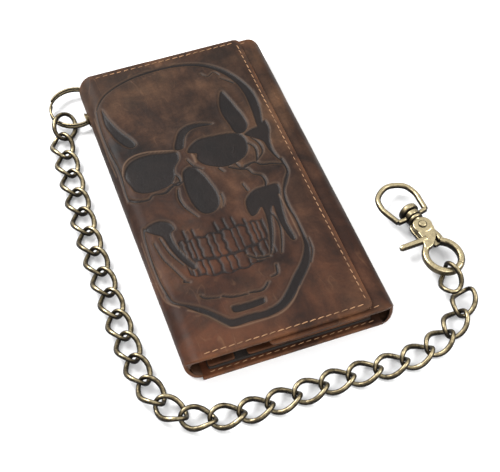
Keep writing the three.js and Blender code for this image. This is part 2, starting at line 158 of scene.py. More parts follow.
# ---- Node helpers ------------------------------------------------------------------------
class Tree:
    """A material's node tree, with one short method for each kind of node."""

    def __init__(self, name):
        self.material = bpy.data.materials.new(name)
        self.material.use_nodes = True
        self.nodes = self.material.node_tree.nodes
        self.links = self.material.node_tree.links
        self.shader = self.nodes["Principled BSDF"]
        self.position = self.nodes.new("ShaderNodeTexCoord").outputs["Object"]

    def link(self, source, target):
        self.links.new(source, target)

    def feed(self, socket, value):
        if isinstance(value, bpy.types.NodeSocket):
            self.link(value, socket)
        else:
            socket.default_value = value

    def noise(self, scale, detail=4, rough=0.55, stretch=(1, 1, 1), seed=0.0, distortion=0.0):
        mapping = self.nodes.new("ShaderNodeMapping")
        mapping.inputs["Scale"].default_value = stretch
        mapping.inputs["Location"].default_value = (seed, seed * 0.37, -seed * 0.61)
        self.link(self.position, mapping.inputs["Vector"])
        node = self.nodes.new("ShaderNodeTexNoise")
        node.inputs["Scale"].default_value = scale
        node.inputs["Detail"].default_value = detail
        node.inputs["Roughness"].default_value = rough
        node.inputs["Distortion"].default_value = distortion
        self.link(mapping.outputs["Vector"], node.inputs["Vector"])
        return node.outputs["Fac"]

    def cells(self, scale):
        node = self.nodes.new("ShaderNodeTexVoronoi")
        node.feature = "DISTANCE_TO_EDGE"
        node.inputs["Scale"].default_value = scale
        self.link(self.position, node.inputs["Vector"])
        return node.outputs["Distance"]

    def attribute(self, name):
        node = self.nodes.new("ShaderNodeAttribute")
        node.attribute_name = name
        return node.outputs["Fac"]

    def ramp(self, value, stops):
        node = self.nodes.new("ShaderNodeValToRGB")
        ramp = node.color_ramp
        while len(ramp.elements) < len(stops):
            ramp.elements.new(0.5)
        for element, (position, colour) in zip(ramp.elements, stops):
            element.position = position
            if isinstance(colour, (int, float)):
                colour = (colour, colour, colour)
            element.color = (*colour, 1)
        self.link(value, node.inputs["Fac"])
        return node.outputs["Color"]

    def mix(self, factor, a, b, blend="MIX"):
        node = self.nodes.new("ShaderNodeMix")
        node.data_type = "RGBA"
        node.blend_type = blend
        self.feed(node.inputs[0], factor)
        for socket, value in ((node.inputs[6], a), (node.inputs[7], b)):
            if isinstance(value, tuple):
                value = (*value, 1)
            self.feed(socket, value)
        return node.outputs[2]

    def maths(self, operation, a, b=0.5, clamp=False):
        node = self.nodes.new("ShaderNodeMath")
        node.operation = operation
        node.use_clamp = clamp
        self.feed(node.inputs[0], a)
        self.feed(node.inputs[1], b)
        return node.outputs[0]

    def bump(self, height, strength, distance, below=None):
        node = self.nodes.new("ShaderNodeBump")
        node.inputs["Strength"].default_value = strength
        node.inputs["Distance"].default_value = distance
        self.link(height, node.inputs["Height"])
        if below is not None:
            self.link(below, node.inputs["Normal"])
        return node.outputs["Normal"]

    def finish(self, colour, roughness, normal=None, metallic=0.0):
        self.feed(self.shader.inputs["Base Color"], colour)
        self.feed(self.shader.inputs["Roughness"], roughness)
        self.feed(self.shader.inputs["Metallic"], metallic)
        if normal is not None:
            self.link(normal, self.shader.inputs["Normal"])
        return self.material


# ---- Skull drawn on the cover ----------------------------------------------------------------
# Outlines in mm on the cover: x to the right, y away from the viewer. A hollow is
# a closed outline pressed flat and burnished dark. A groove is an open line of varying width.
CRANIUM = ((-47, 70), (-40, 78.5), (-28, 84.3), (-15, 86.8), (-2, 87), (9, 84.8), (17, 80.8),
           (24, 74), (29, 65), (31.6, 55), (31.5, 44), (29.8, 33), (29, 26))
CRANIUM_WIDTHS = (0.5, 0.7, 0.9, 1.2, 1.4, 1.7, 2.1, 2.6, 3.2, 4.4, 4.6, 3.4, 3)
TEMPLE = ((-44.6, 69), (-42.6, 61), (-39.6, 52), (-35.6, 44), (-34.4, 39.6), (-36.6, 37.8),
          (-40, 40), (-43.6, 48), (-46, 58))
FOREHEAD_FLAME = ((18.4, 60.5), (20.8, 54), (22.2, 47), (23.6, 40), (23.6, 33), (20, 28.6),
                  (15.6, 30), (14.4, 37), (13.4, 45), (14.6, 53))
BROW = ((-17, 29.6), (-14.4, 36), (-11, 41), (-6, 43.2), (0, 42.8), (6.6, 40), (5, 39.2),
        (0, 39.8), (-5, 39.4), (-9, 36.4), (-11, 32), (-13, 28.6))
RIGHT_EYE = ((-11.6, 25.6), (-8.6, 29.6), (-3, 32.4), (4, 32), (12, 31), (17.6, 28.6),
             (19.4, 24), (18.4, 17.6), (15, 13), (9, 10.4), (3, 10), (-2, 12), (-6.6, 15.4),
             (-8.4, 19.6), (-7.4, 23), (-9, 24))
RIGHT_EYE_CORNER = ((19.6, 27), (24, 29.6), (29, 30.5), (33, 33), (33.4, 27), (31, 20),
                    (30, 12), (31.4, 4), (29.6, 6), (27.6, 13), (27, 19), (23.6, 23))
LEFT_EYE = ((-46.4, 20), (-44.6, 25), (-41, 28.8), (-36, 30.6), (-29, 30.6), (-22.6, 29),
            (-16.6, 27.6), (-16.8, 22.6), (-20.4, 18), (-22.4, 12), (-26, 8), (-32, 6.6),
            (-39, 6.8), (-43.6, 9.6), (-45, 14))
NOSE = ((-18, 13.4), (-14.6, 16.2), (-11, 15), (-9, 11), (-7.4, 6), (-6, -1), (-5.6, -6),
        (-6.6, -11), (-9.6, -14.8), (-13.6, -15.8), (-17, -14.2), (-19.2, -9), (-20, -2),
        (-19.6, 6))
RIGHT_CHEEK = ((4.4, -19), (6, -13.6), (11, -9.4), (17, -8.6), (23.4, -9), (24.4, -12),
               (23, -17), (21.4, -24), (20, -34), (20.4, -44), (18, -44), (16.4, -33),
               (17, -22), (14.4, -28), (11.6, -38), (7.6, -47), (5.6, -49), (8.6, -40),
               (11, -30), (11.6, -21), (8, -24), (5, -24.4))
LEFT_CHEEK = ((-46.4, -15), (-43, -12.4), (-38, -11.8), (-33.6, -14.4), (-32.2, -19),
              (-34.8, -21.4), (-34.6, -28), (-32.4, -36), (-29.4, -43), (-31.4, -45),
              (-35.4, -38), (-38, -30), (-39.6, -22), (-43, -19))
CHIN_BAR = ((-22, -72), (-20.6, -70.8), (-13, -71.4), (-6.4, -71), (-5.6, -73), (-7, -74.6),
            (-14, -75.2), (-21, -74.8))
HOLLOWS = (TEMPLE, FOREHEAD_FLAME, BROW, RIGHT_EYE, RIGHT_EYE_CORNER, LEFT_EYE, NOSE,
           RIGHT_CHEEK, LEFT_CHEEK)
JAW = ((24.4, -44), (23.6, -51), (19.6, -59), (13, -66.4), (7, -73), (0.6, -78),
       (-7, -80), (-16, -79.6), (-24.6, -79.4), (-29.6, -74.6), (-35, -68.6), (-41, -63.4))
JAW_WIDTHS = (1.4, 2.6, 4, 4.4, 4.2, 3.6, 3.4, 3.8, 4, 3.6, 3, 1.2)
CHEEK_CONTOUR = ((31.4, 5), (31.8, -3), (28.6, -9), (25.4, -15), (24, -23), (24.6, -34),
                 (24.4, -44))
# Each groove is its line and its widths from start to end.
GROOVES = (
    (CRANIUM, CRANIUM_WIDTHS),
    (JAW, JAW_WIDTHS),
    (CHEEK_CONTOUR, (1.4, 1, 1.6, 0.8, 1.2, 0.8, 1.2)),
    (((-47, -57), (-48.6, -46), (-48.8, -34), (-48, -20), (-46.6, -14)), (0.8, 0.5, 0.5, 0.6, 1)),
    (((-41, -63.4), (-46, -59.6), (-48, -54)), (0.9, 0.7, 0.5)),
    (((-47.6, 69), (-49, 56), (-48.8, 40), (-47.6, 26), (-48.6, 12), (-48.6, 6)),
     (0.5, 0.5, 0.6, 0.9, 0.6, 0.6)),
    (((-48.6, 7), (-45, 3.6), (-39, 2.6), (-36, 4.6), (-30, 4), (-26, 6.4), (-21, 8.4)),
     (0.8, 1.2, 1, 0.6, 1.2, 1.2, 0.7)),
    (((-23.4, 4), (-24.6, -2), (-23.6, -8), (-21.4, -12.6), (-19.6, -16)),
     (0.5, 1, 0.8, 0.5, 0.4)),
    (((-4.4, -6), (-4.8, -10), (-6.4, -13.6)), (0.5, 1, 0.5)),
    (((-13.4, 21), (-11.6, 16.4), (-8, 12.6)), (0.4, 0.9, 0.5)),
    (((0, 10), (1.6, 7)), (0.8, 0.4)),
    (((5, 9), (9.6, 6), (13, 4.6), (15, 0.6), (18.4, -2), (19, -6), (18, -9)),
     (0.7, 1, 0.9, 0.6, 0.9, 0.9, 0.7)),
    (((12.6, 7), (18, 7.6), (21, 5), (26, 3.8), (31, 1.6)), (0.6, 0.9, 1, 0.8, 0.6)),
    (((19.4, 21), (21.6, 17), (21, 12), (19.6, 8.4)), (0.7, 0.8, 0.8, 0.5)),
    (((7.6, -3.6), (8.6, -8.6)), (0.5, 0.8)),
    (((-4.6, -46), (-1, -49), (5, -50)), (0.5, 0.8, 0.6)),
    (((-33, -60.6), (-31, -62.8), (-25, -64.4)), (0.7, 0.8, 0.4)),
    (((-23.4, -64.2), (-19, -66.2), (-12, -67)), (0.8, 0.9, 0.5)),
    (((-10.8, -66.6), (-5, -67.2), (-1, -64)), (0.7, 0.9, 0.6)),
    (((1.6, -61.6), (4.8, -60.6), (6, -56)), (0.5, 0.8, 0.8)),
    (((21, 69.6), (24, 66.6), (26.4, 64)), (0.5, 0.8, 0.9)),
    (((12, 76), (15, 73), (19, 75), (21, 72)), (0.3, 0.4, 0.3, 0.3)),
    (((-44, 66), (-45, 58), (-43.4, 48), (-40, 40.5)), (0.3, 0.5, 0.5, 0.4)),
    (((-22, 14), (-20.6, 11), (-20.8, 7)), (0.5, 0.9, 0.4)),
    (((-25, 9), (-22.6, 6.6), (-19.4, 8)), (0.5, 0.9, 0.4)),
    (((22, 24), (24.6, 19), (24.4, 13), (20, 8.6)), (0.5, 0.8, 0.6, 0.4)),
    (((9, 10), (11, 6.4), (15.6, 7)), (0.6, 0.7, 0.4)),
    (((-41, -22), (-39, -32), (-35, -41)), (0.4, 0.7, 0.4)),
    (((-44.4, -24), (-43, -34), (-40, -42), (-37, -50)), (0.4, 0.6, 0.5, 0.3)),
    (((14.6, -24), (16, -33), (14, -42), (11, -50)), (0.4, 0.7, 0.6, 0.3)),
    (((-37.6, -50.4), (-35.4, -51.6)), (0.9, 0.5)),
    (((26, -46), (25.4, -53), (22, -60)), (0.3, 0.6, 0.3)),
)
# Thin raised rims beside a hollow; they are also lightened in colour as a painted highlight.
RIMS = (
    (((-46.6, 22), (-44, 28), (-39.6, 31.4), (-33, 32.4), (-25, 30.8), (-18, 28.8)),
     (0.35, 0.45, 0.5, 0.5, 0.45, 0.3)),
    (((-9.6, 17.6), (-9.4, 21), (-9.8, 23.6)), (0.8, 0.9, 0.5)),
    (((-41, -66.4), (-34, -71.6), (-27.4, -79.6), (-24, -82.6), (-14, -83), (-2, -82.4),
      (6, -78), (12, -71)), (0.3, 0.4, 0.5, 0.5, 0.4, 0.4, 0.4, 0.3)),
    (((-50, 66), (-50.6, 40), (-50, 24)), (0.3, 0.35, 0.3)),
    (((-50.4, -20), (-50.8, -40), (-49.6, -56), (-44, -63.6)), (0.3, 0.35, 0.35, 0.3)),
    (((-7, -14.6), (-5.6, -11), (-5, -7)), (0.3, 0.5, 0.3)),
    (((22.4, -16), (22.6, -30), (22.6, -44)), (0.3, 0.3, 0.3)),
)
# Teeth: where the rows start and end, the tooth counts, the rows' levels and their sag.
TEETH_LEFT = -33.5
TEETH_RIGHT = 9.5
UPPER_TEETH = 16
LOWER_TEETH = 15
GUM_TOP = -27.6
BITE = -38.4
JAW_BOTTOM = -48
TEETH_SAG = 4.2
ROOTS = ((-29.4, -21.6), (-25, -22.4), (-13.6, -21.8), (-9, -21), (-4.8, -21.6), (0.4, -24.6))
HOLLOW_DEPTH = 0.62
GROOVE_DEPTH = 0.5
GROOVE_SPREAD = 0.25
HALO = 0.5
HALO_REACH = 1.8
RIM_HEIGHT = 0.2
PUFF_HEIGHT = 0.32
PUFF_REACH = 3.2


def smooth_line(points, closed, parts=8):
    """A Catmull-Rom curve through the points, as an array; each point may carry a width."""
    points = np.array(points, dtype=float)
    count = len(points)
    spans = count if closed else count - 1
    result = []
    for i in range(spans):
        if closed:
            a, b, c, d = (points[(i + k) % count] for k in (-1, 0, 1, 2))
        else:
            a, b, c, d = (points[min(max(i + k, 0), count - 1)] for k in (-1, 0, 1, 2))
        for t in np.arange(parts) / parts:
            result.append(0.5 * (2 * b + (c - a) * t + (2 * a - 5 * b + 4 * c - d) * t ** 2
                                 + (3 * b - a - 3 * c + d) * t ** 3))
    if not closed:
        result.append(points[-1])
    return np.array(result)


def line_distance(x, y, line, closed):
    """Each place's distance to a line of (x, y, half width), less the half width there."""
    best = np.full(x.shape, 1e9)
    follows = np.roll(line, -1, axis=0) if closed else line[1:]
    for start, end in zip(line, follows):
        along = end[:2] - start[:2]
        size = max(float(along @ along), 1e-12)
        share = np.clip(((x - start[0]) * along[0] + (y - start[1]) * along[1]) / size, 0, 1)
        gap = np.hypot(x - start[0] - share * along[0], y - start[1] - share * along[1])
        best = np.minimum(best, gap - (start[2] + (end[2] - start[2]) * share))
    return best


def inside_outline(x, y, outline):
    odd = np.zeros(x.shape, dtype=bool)
    for start, end in zip(outline, np.roll(outline, -1, axis=0)):
        crosses = (start[1] > y) != (end[1] > y)
        rise = end[1] - start[1]
        if abs(rise) > 1e-12:
            odd ^= crosses & (x < start[0] + (y - start[1]) / rise * (end[0] - start[0]))
    return odd


def near(x, y, line, reach):
    low = line[:, :2].min(axis=0) - reach
    high = line[:, :2].max(axis=0) + reach
    return (x > low[0]) & (x < high[0]) & (y > low[1]) & (y < high[1])


def step(value, low, high):
    share = np.clip((value - low) / (high - low), 0, 1)
    return share * share * (3 - 2 * share)


def with_widths(points, widths, grow=0.0):
    return [(*point, width / 2 + grow) for point, width in zip(points, widths)]


def drawn_distance(x, y):
    """Signed distance to the nearest pressed area: negative inside it."""
    result = np.full(x.shape, 1e3)
    reach = PUFF_REACH + 6
    for outline in HOLLOWS + (CHIN_BAR,):
        line = smooth_line([(*point, 0) for point in outline], True)
        close = near(x, y, line, reach)
        gap = line_distance(x[close], y[close], line, True)
        gap[inside_outline(x[close], y[close], line)] *= -1
        result[close] = np.minimum(result[close], gap)
    for points, widths in GROOVES:
        line = smooth_line(with_widths(points, widths, GROOVE_SPREAD), False)
        close = near(x, y, line, reach)
        gap = line_distance(x[close], y[close], line, False)
        result[close] = np.minimum(result[close], gap)
    return result


def rim_height(x, y):
    result = np.zeros(x.shape)
    for points, widths in RIMS:
        line = smooth_line(with_widths(points, widths), False)
        close = near(x, y, line, 2)
        gap = line_distance(x[close], y[close], line, False)
        result[close] = np.maximum(result[close], 1 - step(gap, -0.1, 0.5))
    return result


def teeth(x, y):
    """(depth, darkness) of the two rows of teeth: rounded crowns with dark grooves between."""
    dark = np.zeros(x.shape)
    middle = (TEETH_LEFT + TEETH_RIGHT) / 2
    half = (TEETH_RIGHT - TEETH_LEFT) / 2
    across = (x - middle) / half
    sag = TEETH_SAG * (1 - across ** 2)
    top = GUM_TOP + 0.6 * np.sin(across * 19)
    bite = BITE - sag
    bottom = JAW_BOTTOM - sag * 1.15 + 0.5 * np.sin(across * 17 + 1)
    rows = ((UPPER_TEETH, bite, top), (LOWER_TEETH, bottom, bite))
    for count, low, high in rows:
        # Teeth narrow towards the sides, as a curved jaw seen from the front.
        place = (np.arcsin(np.clip(across, -1, 1)) / math.pi + 0.5) * count
        place = place + 0.16 * np.sin(place * 2.3 + count) + 0.05 * np.sin(y * 1.1)
        phase = place - np.floor(place)
        beside = np.abs(phase - 0.5) * 2
        width = half * math.pi / count * np.sqrt(np.maximum(1 - across ** 2, 0.02))
        from_groove = (1 - beside) * width / 2
        up = np.minimum(y - low, high - y)
        inside = (np.abs(across) < 1) & (up > -0.6)
        corner = 1.7 * beside ** 3 + 0.5 * np.sin(np.floor(place) * 2.7)
        gap = np.minimum(from_groove, up - corner)
        shade = 1 - step(gap, 0.26, 1.0)
        dark = np.where(inside, np.maximum(dark, shade * step(up, -0.6, 0.1)), dark)
    for root_x, root_top in ROOTS:
        line = np.array(((root_x, root_top, 0.3), (root_x + 0.3, GUM_TOP, 0.6)))
        gap = line_distance(x, y, line, False)
        dark = np.maximum(dark, 1 - step(gap, -0.1, 0.6))
    return dark * GROOVE_DEPTH, dark


def skull(x, y):
    """(height, darkness, painted rim highlight) of the pressed skull at each place on the cover, in
    mm.
    """
    gap = drawn_distance(x, y)
    tooth_depth, tooth_dark = teeth(x, y)
    pressed = 1 - step(gap, -0.55, 0.3)
    inner = 1 - step(gap, -0.25, 0.3)
    rims = rim_height(x, y)
    puff = np.exp(-np.maximum(gap, 0) / PUFF_REACH) * step(gap, 0, 1.2)
    inside_face = face_area(x, y)
    height = RIM_HEIGHT * rims + PUFF_HEIGHT * puff * inside_face
    height = height * (1 - pressed) - HOLLOW_DEPTH * pressed
    height = np.minimum(height, np.where(tooth_depth > 0.02, -tooth_depth + 0.1, 1))
    halo = HALO * np.exp(-np.maximum(gap, 0) / HALO_REACH)
    dark = np.maximum(np.maximum(inner, halo), tooth_dark * 0.95)
    # A painted highlight along the edge of each pressed area, joined to the rims' painted highlight.
    edge = np.exp(-((gap - 0.25) / 0.35) ** 2)
    return height, dark, np.maximum(rims, edge * 0.5)


FACE = ((-48, 66), (-38, 78), (-20, 84.6), (0, 85), (16, 80), (27, 68), (31, 50), (31, 20),
        (28, -6), (24, -20), (24, -46), (14, -66), (0, -77), (-24, -78), (-40, -62),
        (-48, -50), (-49, 0))


def face_area(x, y):
    """1 inside the skull's outline, falling to 0.25 outside it."""
    line = smooth_line([(*point, 0) for point in FACE], True)
    gap = line_distance(x, y, line[::3], True)
    gap[inside_outline(x, y, line)] *= -1
    return 0.25 + 0.75 * (1 - step(gap, -1, 1.5))


# ---- Leather ---------------------------------------------------------------------------------
EDGE_ROLL = 0.55
FOLD_END_DRAW = 4
SEAM_REACH = 0.3


def noise_at(points, scale, seed=0.0, octaves=2):
    """Smooth value noise at each row of points, about -1 to 1."""
    result = np.zeros(len(points))
    size = 1.0
    for octave in range(octaves):
        spot = points * scale * 2 ** octave + seed + 17.3 * octave
        cell = np.floor(spot).astype(np.int64)
        part = spot - cell
        part = part * part * (3 - 2 * part)
        total = np.zeros(len(points))
        for corner in range(8):
            offset = np.array([corner & 1, corner >> 1 & 1, corner >> 2 & 1])
            spots = cell + offset
            mixed = np.sin(spots @ np.array([127.1, 311.7, 74.7])) * 43758.5453
            value = (mixed - np.floor(mixed)) * 2 - 1
            weight = np.prod(np.where(offset == 1, part, 1 - part), axis=1)
            total += value * weight
        result += total * size
        size *= 0.5
    return result


def spread(stops):
    """Places from the first stop to the last: each (place, spacing) sets the spacing up to it."""
    places = [stops[0]]
    for end, spacing in stops[1:]:
        count = max(1, round((end - places[-1]) / spacing))
        places.extend(np.linspace(places[-1], end, count + 1)[1:])
    return np.array(places)


def edge_stops(low, high, middle):
    """Stops with close spacing by both edges, where the leather rolls over."""
    return [low, (low + 0.6, 0.15), (low + 1.6, 0.5), *middle, (high - 1.6, 1.4),
            (high - 0.6, 0.5), (high, 0.15)]


def make_object(name, points, faces, material, smooth=True):
    mesh = bpy.data.meshes.new(name)
    mesh.from_pydata([tuple(point) for point in points], [], faces)
    mesh.validate()
    mesh.update()
    tidy = bmesh.new()
    tidy.from_mesh(mesh)
    bmesh.ops.recalc_face_normals(tidy, faces=tidy.faces)
    tidy.to_mesh(mesh)
    tidy.free()
    mesh.polygons.foreach_set("use_smooth", [smooth] * len(mesh.polygons))
    mesh.materials.append(material)
    thing = bpy.data.objects.new(name, mesh)
    bpy.context.collection.objects.link(thing)
    return thing


def set_attribute(thing, name, values):
    layer = thing.data.attributes.new(name, "FLOAT", "POINT")
    layer.data.foreach_set("value", np.asarray(values, dtype=np.float32))


def mark_up(thing):
    """Stores how far each place faces up at rest, for the brass's painted highlight on top, painted
    shade on the sides and its rubbed wear.
    """
    normals = np.zeros(len(thing.data.vertices) * 3, dtype=np.float32)
    thing.data.vertex_normals.foreach_get("vector", normals)
    set_attribute(thing, "up", normals[2::3])


def dress(thing, body, node):
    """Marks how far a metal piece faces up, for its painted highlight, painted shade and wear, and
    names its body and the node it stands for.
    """
    mark_up(thing)
    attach(thing, body)
    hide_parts(node)


def grid_faces(rows, columns, first=0):
    corner = first + np.arange(rows - 1)[:, None] * columns + np.arange(columns - 1)[None, :]
    corner = corner.ravel()
    quads = np.stack([corner, corner + columns, corner + columns + 1, corner + 1], axis=1)
    return quads.tolist()


def rim_indices(rows, columns, first=0):
    """The grid's border vertices in order round it, and each one's share along its side."""
    near_side = [(row * columns, row / (rows - 1)) for row in range(rows - 1)]
    far_row = (rows - 1) * columns
    right_side = [(far_row + column, 1 + column / (columns - 1)) for column in range(columns - 1)]
    far_side = [(row * columns + columns - 1, 2 + (rows - 1 - row) / (rows - 1))
                for row in range(rows - 1, 0, -1)]
    left_side = [(column, 3 + (columns - 1 - column) / (columns - 1))
                 for column in range(columns - 1, 0, -1)]
    border = near_side + right_side + far_side + left_side
    return [(first + index, share) for index, share in border]


def join_rims(a, b):
    """Triangles between two closed borders, each a list of (vertex, share round it)."""
    faces = []
    i = 0
    j = 0
    while i < len(a) or j < len(b):
        next_a = a[i + 1][1] if i + 1 < len(a) else 4.0
        next_b = b[j + 1][1] if j + 1 < len(b) else 4.0
        take_a = j >= len(b) or (i < len(a) and next_a <= next_b)
        here_a = a[i % len(a)][0]
        here_b = b[j % len(b)][0]
        if take_a:
            faces.append((here_a, a[(i + 1) % len(a)][0], here_b))
            i += 1
        else:
            faces.append((here_a, b[(j + 1) % len(b)][0], here_b))
            j += 1
    return faces


def fold_end(around):
    """How far a fold's rounded end is drawn in, at a share of the way around the fold."""
    return FOLD_END_DRAW * (1 - np.sqrt(1 - np.sin(around * math.pi) ** 2 * 0.98))


def plain_relief(height):
    """A relief that changes only the height."""
    return height, np.zeros(len(height)), np.zeros(len(height))


def leather_shell(name, profile, us, vs, thickness, material, relief=None, coarse=2.5,
                  wave=0.1, corner=0.0, seed=0.0, ends=None, seams=()):
    """A leather sheet: profile(u) gives its outer face as (x, z) and its outward normal.

    u runs across the sheet and v along it (y). relief(u, v) may return (height, dark, painted rim
    highlight).
    The edges roll over and the corners are cut round, except on the sides named in seams
    ("low", "high" in u), which meet another sheet. The underside is a coarser grid."""
    sides_u = [(us[0], 1)] * ("low" not in seams) + [(us[-1], -1)] * ("high" not in seams)

    def surface(u_values, v_values):
        u, v = (part.ravel() for part in np.meshgrid(u_values, v_values, indexing="ij"))
        low_v, high_v = vs[0], vs[-1]
        if corner:
            # Draws the border in by the corners so that it follows an arc.
            for side_u, inward_u in sides_u:
                for side_v, inward_v in ((low_v, 1), (high_v, -1)):
                    du = np.abs(u - side_u)
                    dv = np.abs(v - side_v)
                    inside = (du < corner) & (dv < corner)
                    cut_u = corner - du
                    cut_v = corner - dv
                    reach = np.hypot(cut_u, cut_v)
                    most = np.maximum(np.maximum(cut_u, cut_v), 1e-9)
                    share = np.where(inside, most / np.maximum(reach, 1e-9), 1)
                    u = np.where(inside, side_u + inward_u * (corner - cut_u * share), u)
                    v = np.where(inside, side_v + inward_v * (corner - cut_v * share), v)
        if ends is not None:
            v = v * (1 - ends(u) / high_v)
        return u, v

    def place(u, v, depth):
        x, z, normal_x, normal_z = profile(u)
        spots = np.stack([u, v, np.zeros_like(u)], axis=1)
        lift = wave * noise_at(spots, 0.035, seed) - depth
        return np.stack([x + normal_x * lift, v, z + normal_z * lift], axis=1)

    rows, columns = len(us), len(vs)
    flat_u, flat_v = (part.ravel() for part in np.meshgrid(us, vs, indexing="ij"))
    border = np.minimum(flat_v - vs[0], vs[-1] - flat_v)
    for side_u, _ in sides_u:
        border = np.minimum(border, np.abs(flat_u - side_u))
    inset = np.clip(EDGE_ROLL - border, 0, EDGE_ROLL)
    roll = EDGE_ROLL - np.sqrt(np.maximum(EDGE_ROLL ** 2 - inset ** 2, 0))
    u, v = surface(us, vs)
    height = np.zeros(len(u))
    dark = np.zeros(len(u))
    rim_highlight = np.zeros(len(u))
    if relief is not None:
        height, dark, rim_highlight = relief(u, v)
    top = place(u, v, roll - height)
    under_us = np.linspace(us[0], us[-1], max(3, round((us[-1] - us[0]) / coarse)) + 1)
    under_vs = np.linspace(vs[0], vs[-1], max(3, round((vs[-1] - vs[0]) / coarse)) + 1)
    under_u, under_v = surface(under_us, under_vs)
    under = place(under_u, under_v, np.full(len(under_u), thickness))
    top_border = rim_indices(rows, columns)
    side_index = [index for index, _ in top_border]
    side = place(u[side_index], v[side_index],
                 np.full(len(side_index), thickness - EDGE_ROLL * 0.6))
    points = np.concatenate([top, side, under])
    first_side = len(top)
    first_under = first_side + len(side)
    faces = grid_faces(rows, columns)
    count = len(side_index)
    for k in range(count):
        after = (k + 1) % count
        faces.append((side_index[k], side_index[after], first_side + after, first_side + k))
    side_border = [(first_side + k, share) for k, (_, share) in enumerate(top_border)]
    under_border = rim_indices(len(under_us), len(under_vs), first_under)
    faces += join_rims(side_border, under_border)
    faces += grid_faces(len(under_us), len(under_vs), first_under)
    thing = make_object(name, points * MM, faces, material)
    blank_side = np.zeros(len(side))
    blank_under = np.zeros(len(under))
    set_attribute(thing, "dark", np.concatenate([dark, blank_side, blank_under]))
    # The painted rim highlight, kept on the top face only.
    set_attribute(thing, "rim_highlight", np.concatenate([rim_highlight, blank_side, blank_under]))
    across = (u - us[0]) / (us[-1] - us[0])
    along = (v - vs[0]) / (vs[-1] - vs[0])
    bent = np.clip(1.15 - along * 1.5, 0.1, 1) * np.clip(1.3 - across * 0.9, 0.35, 1)
    set_attribute(thing, "pull", np.concatenate([bent, blank_side, blank_under]))
    worn = np.exp(-border / 1.3)
    set_attribute(thing, "edge", np.concatenate([worn, blank_side + 1, blank_under + 0.2]))
    return thing


def left_profile(u):
    """The cover for u >= FOLD_X, and round the left spine for u below it."""
    turn = np.clip((FOLD_X - u) / FOLD_RADIUS, 0, math.pi)
    flat = np.maximum(u - FOLD_X, 0) + np.maximum(FOLD_X - math.pi * FOLD_RADIUS - u, 0)
    centre_z = SPINE_HIGH.z - FOLD_RADIUS
    x = FOLD_X + flat - FOLD_RADIUS * np.sin(turn)
    z = centre_z + FOLD_RADIUS * np.cos(turn)
    return x, z, -np.sin(turn), np.cos(turn)


def right_profile(u):
    """The flap for u <= RIGHT_FOLD_X, and round the right spine for u above it."""
    turn = np.clip((u - RIGHT_FOLD_X) / RIGHT_RADIUS, 0, math.pi)
    flat = (np.minimum(u - RIGHT_FOLD_X, 0)
            - np.maximum(u - RIGHT_FOLD_X - math.pi * RIGHT_RADIUS, 0))
    x = RIGHT_FOLD_X + flat + RIGHT_RADIUS * np.sin(turn)
    z = RIGHT_RADIUS + RIGHT_RADIUS * np.cos(turn)
    return x, z, np.sin(turn), np.cos(turn)


COVER_STITCH_X = COVER_HIGH.x - 2.3
COVER_NEAR_STITCH_Y = COVER_LOW.y + 2.6
COVER_FAR_STITCH_Y = COVER_HIGH.y - 2.6
STITCH_GROOVE = 0.28


def stitch_dent(gap):
    return STITCH_GROOVE * np.exp(-(gap / 0.55) ** 2)


def cover_relief(u, v):
    height, dark, rim_highlight = skull(u, v)
    on_side = (v > COVER_NEAR_STITCH_Y - 0.3) & (v < COVER_FAR_STITCH_Y + 0.3)
    height -= stitch_dent(u - COVER_STITCH_X) * on_side
    on_ends = (u > FOLD_X - 1) & (u < COVER_STITCH_X + 0.3)
    for row in (COVER_NEAR_STITCH_Y, COVER_FAR_STITCH_Y):
        height -= stitch_dent(v - row) * on_ends
    return height, dark, rim_highlight


def cover_leather(material):
    spine_arc = math.pi * FOLD_RADIUS
    fine = 0.5
    us = spread(edge_stops(FOLD_X - spine_arc - SEAM_REACH, COVER_HIGH.x,
                           [(FOLD_X - 8.5, 1.2), (34.5, fine)]))
    vs = spread(edge_stops(COVER_LOW.y, COVER_HIGH.y, [(-84, 1), (88, fine)]))

    def drawn_in(u):
        return fold_end(np.clip((FOLD_X - u) / spine_arc, 0, 1))

    thing = leather_shell("spine_and_cover", left_profile, us, vs, LEATHER, material,
                          relief=cover_relief, corner=3.4, wave=0.16, seed=3.1, ends=drawn_in,
                          seams=("low",))
    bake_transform(thing)
    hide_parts("left_spine", "front_cover")


